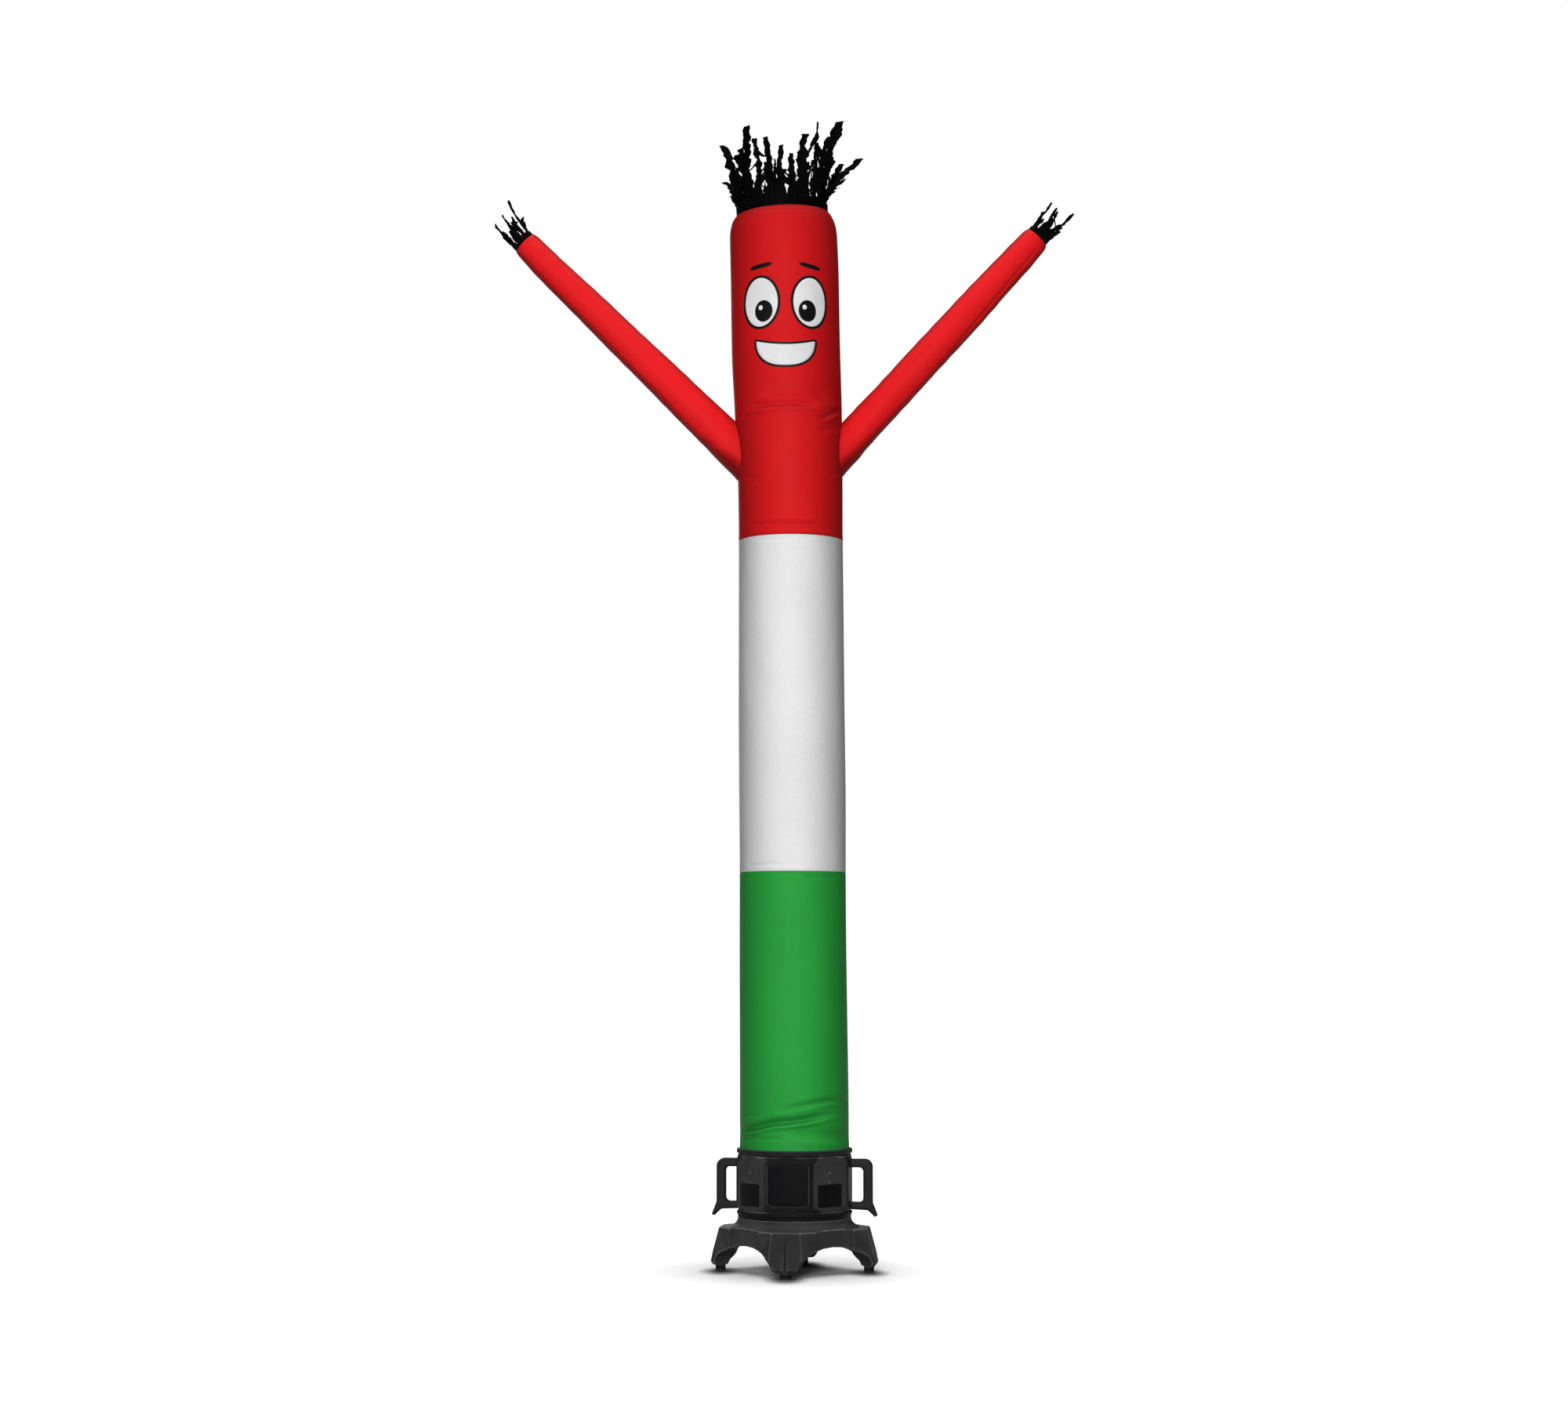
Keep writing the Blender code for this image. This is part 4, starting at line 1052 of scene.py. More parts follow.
stitch = {
    "pitch": 0.0052,
    "length": 0.0036,
    "thread": 0.00045,
    "proud": 0.0002,
    "fromSeam": 0.0045,
    "backRows": 0.0038,  # from the middle of the back seam, and of a sleeve's seam
    "sleeveRows": 0.003,
    "backEnds": 0.008,  # the rows up the back stop this far from a seam
    "foot": (0.034, 0.35),  # the foot's ring above its edge, and where the rows up the back start
    "setIn": (0.0085, 0.0012),  # before a sleeve's end, and how proud
    "hand": 0.011,  # ring above the hand's hem
    "sleeveEnds": (0.016, 0.012),
}


def stitchTree():
    # one small lozenge of thread at each step of a path
    inputs = {"Geometry": "Geometry", "Pitch": "Float", "Length": "Float", "Thread": "Float"}
    tree, given = newTree("stitchRow", "Geometry", {**inputs, "Material": "Material"})
    path = put(tree, "GeometryNodeMeshToCurve", {"Mesh": given["Geometry"]}).outputs[0]
    links = {"Curve": path, "Length": given["Pitch"]}
    steps = put(tree, "GeometryNodeResampleCurve", links, mode="LENGTH").outputs[0]
    tangent = put(tree, "GeometryNodeInputTangent").outputs[0]
    turn = put(tree, "FunctionNodeAlignRotationToVector", {"Vector": tangent}, axis="Z").outputs[0]
    ball = put(tree, "GeometryNodeMeshUVSphere", {"Segments": 5, "Rings": 3, "Radius": 1.0})
    smooth = put(tree, "GeometryNodeSetShadeSmooth", {"Geometry": ball.outputs["Mesh"]}).outputs[0]
    size = vector(tree, given["Thread"], given["Thread"], calc(tree, "MULTIPLY", given["Length"], 0.5))
    links = {"Points": steps, "Instance": smooth, "Rotation": turn, "Scale": size}
    balls = put(tree, "GeometryNodeInstanceOnPoints", links).outputs[0]
    return closeForm(tree, balls, given["Material"])


def pathMesh(name, paths):
    # paths are arrays of points, each marked closed or open
    points, edges = [], []
    for path, closed in paths:
        start = len(points)
        points += path.tolist()
        edges += [(start + i, start + i + 1) for i in range(len(path) - 1)]
        if closed:
            edges.append((start + len(path) - 1, start))
    return meshOf(name, points, edges)


def ringPath(level):
    angle = np.linspace(0, math.tau, 240, endpoint=False) + tube["seamAt"] - math.tau
    return tubeSurface(angle, np.full(angle.shape, level), stitch["proud"]), True


def backPath(low, high, side):
    height = np.linspace(low, high, max(2, round((high - low) / 0.01)))
    angle = np.full(height.shape, tube["seamAt"] - math.tau + side / tube["girthRadius"])
    return tubeSurface(angle, height, stitch["proud"]), False


def armPaths(arm):
    angle = np.linspace(0, math.tau, 90, endpoint=False)
    ends = armEnds(arm, angle)
    before, proud = stitch["setIn"]
    yield armPlace(arm, angle, ends - before, proud), True
    yield armPlace(arm, angle, np.full(angle.shape, stitch["hand"]), stitch["proud"]), True
    low, high = stitch["sleeveEnds"]
    length = np.linspace(low, float(ends.min()) - high, 80)
    for side in (-1, 1):
        beside = side * stitch["sleeveRows"] / sleeve["girthRadius"]
        turned = np.full(length.shape, sleeve["seamAt"] + beside)
        yield armPlace(arm, turned, length, stitch["proud"]), False


def makeStitches():
    green, white, hem = tube["greenTop"], tube["whiteTop"], tube["hem"]
    band = hem - tube["hemBand"]
    off, end = stitch["fromSeam"], stitch["backEnds"]
    ring, start = stitch["foot"]
    rows = {  # from and to of the rows up the back, then the heights of the rings
        "red": (white + end, band, (white + off, band + 0.003, hem - 0.005)),
        "white": (green + end, white - end, (green + off, white - off)),
        "green": (start, green - end, (tube["foot"] + ring, green - off)),
    }
    tree = stitchTree()
    pieces = {}
    for colour, (low, high, rings) in rows.items():
        paths = [backPath(low, high, side * stitch["backRows"]) for side in (-1, 1)]
        paths += [ringPath(level) for level in rings]
        if colour == "red":
            paths += [path for arm in arms.values() for path in armPaths(arm)]
        thread = f"{colour}Thread"
        values = {key.title(): stitch[key] for key in ("pitch", "length", "thread")}
        piece = linked(f"{thread}Stitches", pathMesh(thread, paths))
        piece = runTree(piece, tree, {**values, "Material": materials[thread]})
        pieces[colour] = dress(piece, thread, f"{colour}_cloth")
    return pieces


stitches = makeStitches()
print("stitches are made")


# the face, printed on the cloth: each colour is a thin layer of ink

face = {
    "height": 2.722,  # of the eyes' middle
    "x": 0.0018,
    "eye": {"apart": 0.074, "width": 0.104, "high": 0.14},
    "outline": 0.0075,
    "under": 0.0006,  # how far the white goes under its outline
    "pupil": {"inwards": 0.01, "down": 0.026, "radius": 0.027, "long": 2.3},
    "glint": {"left": 0.009, "up": 0.01, "radius": 0.0065, "long": 2.2},
    "brow": {"apart": 0.073, "up": 0.104, "length": 0.07, "thick": 0.0125, "slope": 9.0},
    "smile": {
        "down": 0.112, "width": 0.176, "deep": 0.066, "outline": 0.8,
        "sag": (0.016, 0.35),  # of its upper edge, and the share of that which its lower edge has
        "crown": 0.004,
        "powers": (0.8, 0.9),  # under 1, for squarer ends and a fuller lower edge
    },
    "lift": 0.00025,
    "ink": 0.0002,
}


def onFace(outline, proud):
    # flat face coordinates, metres across and up, laid on the cloth
    height = face["height"] + outline[..., 1]
    centre = blowerX + readForm(tube["form"], 1, height)
    radius = readForm(tube["form"], 2, height)
    angle = -math.pi / 2 + (outline[..., 0] + face["x"] - centre) / radius
    return tubeSurface(angle, height, proud)


def oval(centre, width, high, tilt=0.0, count=96, power=1.0):
    # a power under 1 squares its ends
    turn = np.linspace(0, math.tau, count, endpoint=False)
    x = np.sign(np.cos(turn)) * np.abs(np.cos(turn)) ** power * width / 2
    y = np.sin(turn) * high / 2
    c, s = math.cos(tilt), math.sin(tilt)
    return np.stack([centre[0] + x * c - y * s, centre[1] + x * s + y * c], -1)


def grown(outline, distance):
    # an outline moved outwards along its own normals
    ahead = np.roll(outline, -1, axis=0) - np.roll(outline, 1, axis=0)
    out = np.stack([ahead[:, 1], -ahead[:, 0]], -1)
    return outline + out / np.linalg.norm(out, axis=1)[:, None] * distance


def inkPatch(outline, layer, rings=14):
    # a filled shape, as rings around its middle
    middle = outline.mean(axis=0)
    shares = np.linspace(1, 0, rings, endpoint=False)
    return inkMesh(middle + (outline - middle) * shares[:, None, None], layer, filled=True)


def inkBand(inner, outer, layer, steps=3):
    shares = np.linspace(0, 1, steps + 1)[:, None, None]
    return inkMesh(outer * (1 - shares) + inner * shares, layer)


def inkMesh(grid, layer, filled=False):
    points = onFace(grid, face["lift"] + layer * face["ink"] * 1.2)
    u = np.arange(points.shape[1] + 1) * 0.002
    mesh = gridMesh("ink", points, u, np.arange(points.shape[0]) * 0.002)
    with edited(mesh) as bm:
        if filled:
            last = []
            for edge in [edge for edge in bm.edges if edge.is_boundary]:
                away = np.linalg.norm(points[-1] - np.array(edge.verts[0].co), axis=1)
                if away.min() < 1e-6:
                    last.append(edge)
            bmesh.ops.contextual_create(bm, geom=last)
            bmesh.ops.poke(bm, faces=[part for part in bm.faces if len(part.verts) > 4])
        faceOutwards(bm)
        if sum(part.normal.y * part.calc_area() for part in bm.faces) > 0:
            bmesh.ops.reverse_faces(bm, faces=bm.faces)
    return mesh


def smileOutline(count=64):
    # a half moon with rounded corners, its upper edge sagging a little
    smile = face["smile"]
    (sag, lowSag), (ends, full) = smile["sag"], smile["powers"]
    turn = np.linspace(0, math.tau, count * 2, endpoint=False)
    x = np.sign(np.cos(turn)) * np.abs(np.cos(turn)) ** ends * smile["width"] / 2
    hang = sag * (1 - (2 * x / smile["width"]) ** 2)
    upper = np.sin(turn) > 0
    low = -smile["deep"] * np.abs(np.sin(turn)) ** full
    y = np.where(upper, smile["crown"] * np.sin(turn), low) - hang * np.where(upper, 1, lowSag)
    return np.stack([x, y - smile["down"]], -1)


def makeFace():
    eye, pupil, glint, brow = (face[part] for part in ("eye", "pupil", "glint", "brow"))
    black, white = [], []
    for side in (-1, 1):
        x = side * eye["apart"]
        ball = oval((x, 0.0), eye["width"], eye["high"])
        white.append(inkPatch(grown(ball, face["under"]), 0))
        black.append(inkBand(ball, grown(ball, face["outline"]), 1))
        x, y, radius = x - side * pupil["inwards"], -pupil["down"], pupil["radius"]
        black.append(inkPatch(oval((x, y), radius * 2, radius * pupil["long"]), 1, 8))
        x, y, radius = x - glint["left"], y + glint["up"], glint["radius"]
        white.append(inkPatch(oval((x, y), radius * 2, radius * glint["long"], 0, 32), 2, 3))
        middle = (side * brow["apart"], brow["up"])
        tilt = math.radians(brow["slope"]) * -side
        black.append(inkPatch(oval(middle, brow["length"], brow["thick"], tilt, 80, 0.5), 1, 5))
    smile = smileOutline()
    outline = face["outline"] * face["smile"]["outline"]
    white.append(inkPatch(grown(smile, face["under"]), 0, 10))
    black.append(inkBand(smile, grown(smile, outline), 1))
    return [
        printed("whiteInk", white, "inkWhite", "white_cloth"),
        printed("blackInk", black, "inkBlack", "black_ribbon"),
    ]


def printed(name, meshes, finish, slot):
    bm = bmesh.new()
    for mesh in meshes:
        bm.from_mesh(mesh)
        bpy.data.meshes.remove(mesh)
    mesh = bpy.data.meshes.new(name)
    bm.to_mesh(mesh)
    bm.free()
    mesh.shade_smooth()
    return dress(solidified(linked(name, mesh), face["ink"]), finish, slot)


facePieces = makeFace()
print("the face is printed")


# fringes: crinkled strips of cloth sewn inside each hem

hair = {
    "radius": 0.1318,
    "strip": (-0.012, 0.03),
    "rows": (  # tip outwards, sideways and up from its root; width; twist in degrees; bow sideways
        (0.034, -0.004, 0.084, 0.018, -80, -0.006), (0.04, 0.002, 0.178, 0.02, 85, 0.018),
        (0.015, 0.006, 0.096, 0.016, -55, -0.008), (0.0, 0.0, 0.216, 0.03, 5, -0.012),
        (0.004, -0.002, 0.174, 0.014, -30, 0.01), (0.002, -0.004, 0.177, 0.015, 25, 0.012),
        (0.001, 0.01, 0.145, 0.013, 30, -0.01), (0.0, 0.002, 0.121, 0.014, -20, 0.008),
        (-0.002, 0.018, 0.181, 0.021, 15, -0.012), (0.012, 0.026, 0.222, 0.012, -20, 0.014),
        (0.036, 0.008, 0.176, 0.014, 40, -0.014), (0.058, 0.006, 0.232, 0.028, -85, 0.016),
        (0.105, 0.004, 0.126, 0.028, -85, 0.02), (0.06, -0.004, 0.131, 0.018, 75, -0.01),
        (0.045, 0.01, 0.16, 0.018, -20, 0.012), (0.02, -0.008, 0.2, 0.016, 35, -0.01),
        (0.014, -0.006, 0.162, 0.018, -25, 0.012), (-0.004, 0.012, 0.122, 0.02, 15, -0.008),
        (0.01, -0.01, 0.15, 0.016, -35, 0.01), (0.006, 0.008, 0.172, 0.018, 20, -0.014),
        (0.012, -0.01, 0.186, 0.015, -30, 0.01), (0.026, 0.006, 0.192, 0.018, 35, -0.012),
        (0.028, -0.006, 0.14, 0.016, -40, 0.01), (0.03, 0.008, 0.164, 0.016, 70, -0.014),
    ),
    "bridges": (  # tangled strips: from a row and its share of height, to another; width
        (8, 0.6, 9, 0.86, 0.01), (11, 0.5, 9, 0.78, 0.011), (3, 0.48, 4, 0.66, 0.012),
        (4, 0.84, 5, 0.68, 0.01), (4, 0.3, 5, 0.5, 0.012), (1, 0.45, 2, 0.3, 0.013),
        (3, 0.22, 1, 0.42, 0.012), (6, 0.52, 7, 0.36, 0.011), (7, 0.5, 8, 0.36, 0.012),
        (8, 0.4, 9, 0.56, 0.009), (9, 0.42, 10, 0.62, 0.009), (10, 0.5, 11, 0.36, 0.011),
        (11, 0.22, 12, 0.48, 0.013), (13, 0.6, 12, 0.72, 0.011), (15, 0.55, 16, 0.75, 0.011),
        (18, 0.5, 19, 0.72, 0.011), (20, 0.7, 19, 0.5, 0.011), (22, 0.5, 21, 0.66, 0.011),
    ),
    "rise": (  # angle, and how far the uncut strip stands above the hem; -90 is the front
        (-180, 0.03), (-150, 0.03), (-128, 0.034), (-116, 0.062), (-98, 0.07), (-82, 0.058),
        (-68, 0.034), (-40, 0.032), (-10, 0.028), (60, 0.034), (110, 0.04), (180, 0.03),
    ),
    "slivers": 5,  # torn strips beside each wide one
    "lean": 0.04,
    "inset": 0.0036,
    "crinkle": 0.012,
    "seed": 11,
}
hands = {
    "radius": 0.034,
    "strip": (-0.008, 0.022),
    "leftArm": (
        (-0.012, 0.002, 0.082, 0.008, 60, 0.006), (-0.004, -0.004, 0.05, 0.009, -40, -0.004),
        (0.002, 0.018, 0.078, 0.0075, 5, 0.004), (0.002, 0.01, 0.058, 0.008, 10, -0.005),
        (0.023, 0.002, 0.1, 0.0056, 75, 0.008), (0.018, -0.004, 0.042, 0.01, -75, 0.004),
        (0.01, 0.004, 0.062, 0.01, -30, -0.004), (0.006, -0.004, 0.048, 0.01, -10, 0.006),
        (-0.004, 0.004, 0.056, 0.009, 35, -0.004),
    ),
    "rightArm": (
        (0.004, 0.002, 0.085, 0.0075, 70, -0.006), (0.006, -0.004, 0.044, 0.01, -30, 0.004),
        (0.002, -0.002, 0.076, 0.0065, -20, 0.005), (0.0, -0.018, 0.068, 0.007, 20, -0.004),
        (0.001, 0.004, 0.102, 0.0085, 50, 0.008), (0.008, 0.002, 0.043, 0.009, -70, -0.004),
        (0.006, -0.004, 0.066, 0.01, -40, 0.005), (0.006, 0.004, 0.064, 0.009, 10, -0.004),
        (0.004, -0.002, 0.04, 0.01, 35, 0.005),
    ),
    "bridges": ((0, 0.4, 1, 0.75, 0.006), (2, 0.65, 3, 0.45, 0.006), (4, 0.45, 3, 0.75, 0.006)),
    "rise": ((-180, 0.016), (-90, 0.022), (0, 0.016), (90, 0.02), (180, 0.016)),
    "slivers": 3,
    "lean": 0.012,
    "inset": 0.0014,
    "crinkle": 0.006,
}
ribbon = {
    "share": 0.8,
    "bowAt": 0.45,
    "thickness": 0.0005,
    "bandThickness": 0.0012,
    "steps": 36,
    "bridgeSteps": 24,
    "curl": 0.3,
    "sliverHeight": (0.3, 0.74),
    "sliverWidth": (0.34, 0.66),
    "sliverShift": 0.42,  # either way, in strips
    "cut": 0.0026,  # half width of the cuts between strips
    "gather": 0.0011,
    "bend": (38.0, 2.0),  # scale and detail of the noise that crinkles a strip
    "tear": (70.0, 3.5),  # and of the noise that tears its edges
    "torn": (3.6, -0.65, 0.34),  # how much that noise is worth, less this, and the least width
    "bridgeSag": 0.006,
    "bridgeLoose": 0.6,
}


def fringeTree():
    # a strip swept along each path, its width torn and its run crinkled by noise
    inputs = {"Geometry": "Geometry", "Crinkle": "Float", "Curl": "Float", "Material": "Material"}
    tree, given = newTree("fringeStrips", "Geometry", inputs)

    def named(label, kind="FLOAT"):
        return put(tree, "GeometryNodeInputNamedAttribute", {"Name": label}, data_type=kind).outputs[0]

    def roughly(scale, detail, output):
        node = noise(tree, place, scale, detail, noise_dimensions="4D")
        tree.links.new(named("strand"), node.inputs["W"])
        return node.outputs[output]

    path = put(tree, "GeometryNodeMeshToCurve", {"Mesh": given["Geometry"]}).outputs[0]
    place = put(tree, "GeometryNodeInputPosition").outputs[0]
    centred = vectorCalc(tree, "SUBTRACT", roughly(*ribbon["bend"], "Color"), (0.5, 0.5, 0.5))
    amount = calc(tree, "MULTIPLY", given["Crinkle"], named("loose"))
    shift = vectorCalc(tree, "SCALE", centred, calc(tree, "MULTIPLY", amount, 2.0))
    moved = put(tree, "GeometryNodeSetPosition", {"Geometry": path, "Offset": shift}).outputs[0]
    links = {"Curve": moved, "Normal": named("side", "FLOAT_VECTOR")}
    facing = put(tree, "GeometryNodeSetCurveNormal", links, mode="FREE").outputs[0]
    times, less, least = ribbon["torn"]
    torn = calc(tree, "MULTIPLY_ADD", roughly(*ribbon["tear"], "Fac"), times, less)
    width = calc(tree, "MULTIPLY", calc(tree, "MAXIMUM", torn, least), named("width"))
    middle = vector(tree, 0.0, given["Curl"], 0.0)
    links = {"Resolution": 4, "Start": (-0.5, 0, 0), "Middle": middle, "End": (0.5, 0, 0)}
    profile = put(tree, "GeometryNodeCurveQuadraticBezier", links).outputs[0]
    links = {"Curve": facing, "Profile Curve": profile, "Scale": width}
    swept = put(tree, "GeometryNodeCurveToMesh", links).outputs[0]
    return closeForm(tree, swept, given["Material"])


def strandPath(root, out, row, stretch, shift, thin, depth):
    # a bent path from the root to the tip, with the way its strip faces at each step
    outwards, sideways, up, width, twist, bow = row
    above = np.array([0, 0, 1.0])
    side = np.array([-out[1], out[0], 0.0])
    root = root + side * shift
    tip = root + (out * outwards + side * sideways + above * up) * stretch
    lift = root + side * bow + above * (up * ribbon["bowAt"] * stretch)
    share = np.linspace(0, 1, ribbon["steps"])[:, None]
    path = root * (1 - share) ** 2 + lift * 2 * share * (1 - share) + tip * share**2
    path = np.concatenate([root - above * np.linspace(depth, depth / 4, 4)[:, None], path])
    share = np.concatenate([np.zeros((4, 1)), share])
    turn = np.radians(twist) * share
    facing = side * np.cos(turn) + out * np.sin(turn)
    taper = np.minimum(1.0, 0.75 + 2.0 * (1 - share[:, 0]))
    return path, facing, width * thin * taper, smoothStep(share[:, 0] * 5)


def bridgePath(strands, bridge):
    # a strip that tangles from one strand to another
    fromRow, fromShare, toRow, toShare, width = bridge
    steps = ribbon["bridgeSteps"]
    start, end = strands[fromRow], strands[toRow]
    first = start[0][round(fromShare * (len(start[0]) - 1))]
    last = end[0][round(toShare * (len(end[0]) - 1))]
    share = np.linspace(0, 1, steps)[:, None]
    sag = np.array([0, 0, -ribbon["bridgeSag"]]) * 4 * share * (1 - share)
    path = first * (1 - share) + last * share + sag
    facing = np.repeat(start[1][-1][None], steps, 0)
    return path, facing, np.full(steps, width), np.full(steps, ribbon["bridgeLoose"])


def fringeMesh(name, sizes, rows, matrix, seed):
    random = np.random.default_rng(seed)
    radius, (low, high) = sizes["radius"], sizes["strip"]
    pitch, furthest = math.tau / len(rows), ribbon["sliverShift"]
    strands, mains = [], []
    for index, row in enumerate(rows):
        angle = (index + ribbon["share"] / 2) * pitch + math.pi - pitch / 2
        out = np.array([math.cos(angle), math.sin(angle), 0.0])
        for copy in range(sizes["slivers"] + 1):
            shift, stretch, thin = 0.0, 1.0, 1.0
            if copy:
                shift = random.uniform(-furthest, furthest) * pitch * radius
                stretch = random.uniform(*ribbon["sliverHeight"])
                thin = random.uniform(*ribbon["sliverWidth"])
                lean, bow = random.uniform(-1, 1, 2) * sizes["lean"]
                row = (row[0], row[1] + lean, *row[2:5], bow * 0.5)
            root = out * (radius - sizes["inset"] * (1.0 + 0.15 * copy)) + np.array([0, 0, high])
            strands.append(strandPath(root, out, row, stretch, shift, thin, high - low * 0.5))
            if not copy:
                mains.append(strands[-1])
    strands += [bridgePath(mains, bridge) for bridge in sizes["bridges"]]
    number = np.concatenate([np.full(len(strand[0]), random.uniform(0, 50)) for strand in strands])
    mesh = pathMesh(name, [(strand[0], False) for strand in strands])
    _, sides, widths, looseness = (np.concatenate(values) for values in zip(*strands))
    place = Matrix(matrix.tolist())
    movePoints(mesh, np.array([place @ vert.co for vert in mesh.vertices]))
    turned = place.to_3x3()
    facing = mesh.attributes.new("side", "FLOAT_VECTOR", "POINT")
    facing.data.foreach_set("vector", [part for side in sides for part in turned @ Vector(side)])
    for label, values in (("width", widths), ("loose", looseness), ("strand", number)):
        mark(mesh, label, values)
    return mesh


def bandMesh(name, sizes, rows, matrix, seed):
    # the gathered strip that the fringe is cut from, with its cuts and its torn upper edge
    radius, (low, high) = sizes["radius"], sizes["strip"]
    pitch = math.tau / len(rows)
    angle = np.linspace(0, math.tau, len(rows) * 12, endpoint=False)
    level = np.linspace(0, 1, 9)
    grid, share = np.meshgrid(angle, level)
    torn = 1 + np.random.default_rng(seed).uniform(-0.2, 0.2, angle.shape)
    fromCut = ((angle - math.pi) / pitch - ribbon["share"] / 2 + 0.5) % 1 - 0.5
    cut = bell(fromCut * pitch * radius, ribbon["cut"])
    rise = readForm(sizes["rise"], 1, (np.degrees(angle) + 180) % 360 - 180)
    top = (rise * torn * (1 - 0.5 * cut))[None]
    reach = radius + puckers(grid * len(rows) / 48, seed) * ribbon["gather"] * share
    local = np.stack([reach * np.cos(grid), reach * np.sin(grid), low + (top - low) * share], -1)
    u = np.append(angle, math.tau) * radius
    return gridMesh(name, placed(local, matrix), u, level * (high - low))


def makeFringe(name, sizes, rows, matrix, node, seed):
    values = {"Crinkle": sizes["crinkle"], "Curl": ribbon["curl"], "Material": materials["ribbon"]}
    strips = linked(f"{name}Strips", fringeMesh(name, sizes, rows, matrix, seed))
    strips = solidified(runTree(strips, stripTree, values), ribbon["thickness"])
    strips.data.shade_smooth()
    dress(strips, "ribbon", "black_ribbon", node)
    band = linked(f"{name}Band", bandMesh(name, sizes, rows, matrix, seed))
    solidified(band, ribbon["bandThickness"])
    return [strips, dress(band, "ribbon", "black_ribbon")]


def makeFringes():
    top = Matrix.Translation((blowerX + tube["form"][-1][1], 0, tube["hem"]))
    head = np.array(top @ Matrix.Rotation(-tube["tilt"], 4, "Y"))
    pieces = {"hair": makeFringe("hair", hair, hair["rows"], head, "hair_fringe", hair["seed"])}
    over = np.array(Matrix.Rotation(math.pi, 4, "Y"))
    for name, arm in arms.items():
        node = arm["node"].replace("arm", "hand_fringe")
        place = armFrame(arm) @ over
        pieces[name] = makeFringe(f"{name}Fringe", hands, hands[name], place, node, arm["seed"])
    return pieces


stripTree = fringeTree()
fringes = makeFringes()
print("fringes are made")


# the blower's housing: turned, then a node tree cuts its eight flats and the front panel

housing = {
    "form": (  # radius, height and corner radius, down the outside and up the inside
        (0.1545, 0.342, 0.0008), (0.1626, 0.342, 0.0042), (0.1626, 0.3294, 0.004),
        (0.1575, 0.3284, 0.0008), (0.1573, 0.3256, 0.0008), (0.1598, 0.324, 0.0012),
        (0.1708, 0.295, 0.003), (0.1708, 0.193, 0.004), (0.1581, 0.1762, 0.004), (0.1581, 0.17, 0.0014),
        (0.147, 0.17, 0.001), (0.147, 0.338, 0.0005), (0.15, 0.338, 0.0005), (0.15, 0.322, 0.0002),
        (0.1533, 0.322, 0.0002), (0.1533, 0.3408, 0.0006),
    ),
    "flats": 8,
    "flat": 0.157,  # from the axis to a flat
    "bevel": 0.16726,  # from the axis to the strip between two flats
    "inside": 0.154,  # nearer the axis than this, the form stays round
    "softness": 0.0014,
    "top": 0.3255,  # the flats end below the rim
    "shade": (0.85, 0.3286, 0.68),  # painted shade of the flats on the axes, the rim's height, and the rim's painted shade
    "longest": 0.0038,  # step of the turned outline
    "columns": (  # angles from the middle of a flat, close together at its edge
        0, 4, 8, 11.5, 14.5, 16.2, 17.4, 18.3, 18.9, 19.25, 19.5, 19.68, 19.85, 20.05, 20.3, 20.6,
        21.1, 21.8, 22.5,
    ),
}
panel = {
    "width": 0.114,
    "height": 0.112,
    "centre": 0.248,
    "corner": 0.012,
    "depth": 0.0014,
    "edge": 0.0006,
    "plate": 0.0012,
    "gap": 0.001,
}


def roundedLoop(corners, steps=5):
    # a closed outline from corners of x, y and radius, with each corner an arc
    points = []
    for index, (x, y, radius) in enumerate(corners):
        here = Vector((x, y))
        back = (Vector(corners[index - 1][:2]) - here).normalized()
        ahead = (Vector(corners[(index + 1) % len(corners)][:2]) - here).normalized()
        half = back.angle(ahead) / 2
        middle = here + (back + ahead).normalized() * radius / math.sin(half)
        start = here + back * radius / math.tan(half) - middle
        sweep = (math.pi - 2 * half) * (1 if back.x * ahead.y - back.y * ahead.x < 0 else -1)
        for step in range(steps + 1):
            points.append(middle + Matrix.Rotation(sweep * step / steps, 2) @ start)
    return points


def stepped(outline, longest, closed=True):
    # the same outline with no step longer than this
    points = []
    ends = [*outline[1:], outline[0]] if closed else outline[1:]
    for low, high in zip(outline, ends):
        count = max(1, math.ceil((high - low).length / longest))
        points += [low.lerp(high, step / count) for step in range(count)]
    return points if closed else [*points, outline[-1]]


def turnedMesh(name, outline, angles, closed=True):
    # an outline of radius and height, turned all the way round
    rows, columns = len(outline), len(angles)
    points = [(r * math.cos(a), r * math.sin(a), z) for r, z in outline for a in angles]
    faces = []
    for row in range(rows if closed else rows - 1):
        low, high = row * columns, (row + 1) % rows * columns
        for column in range(columns):
            ahead = (column + 1) % columns
            faces.append((low + column, high + column, high + ahead, low + ahead))
    mesh = meshOf(name, points, faces=faces)
    with edited(mesh, weld=True) as bm:
        faceOutwards(bm)
    return mesh


def evenAngles(count):
    return [math.tau * index / count for index in range(count)]


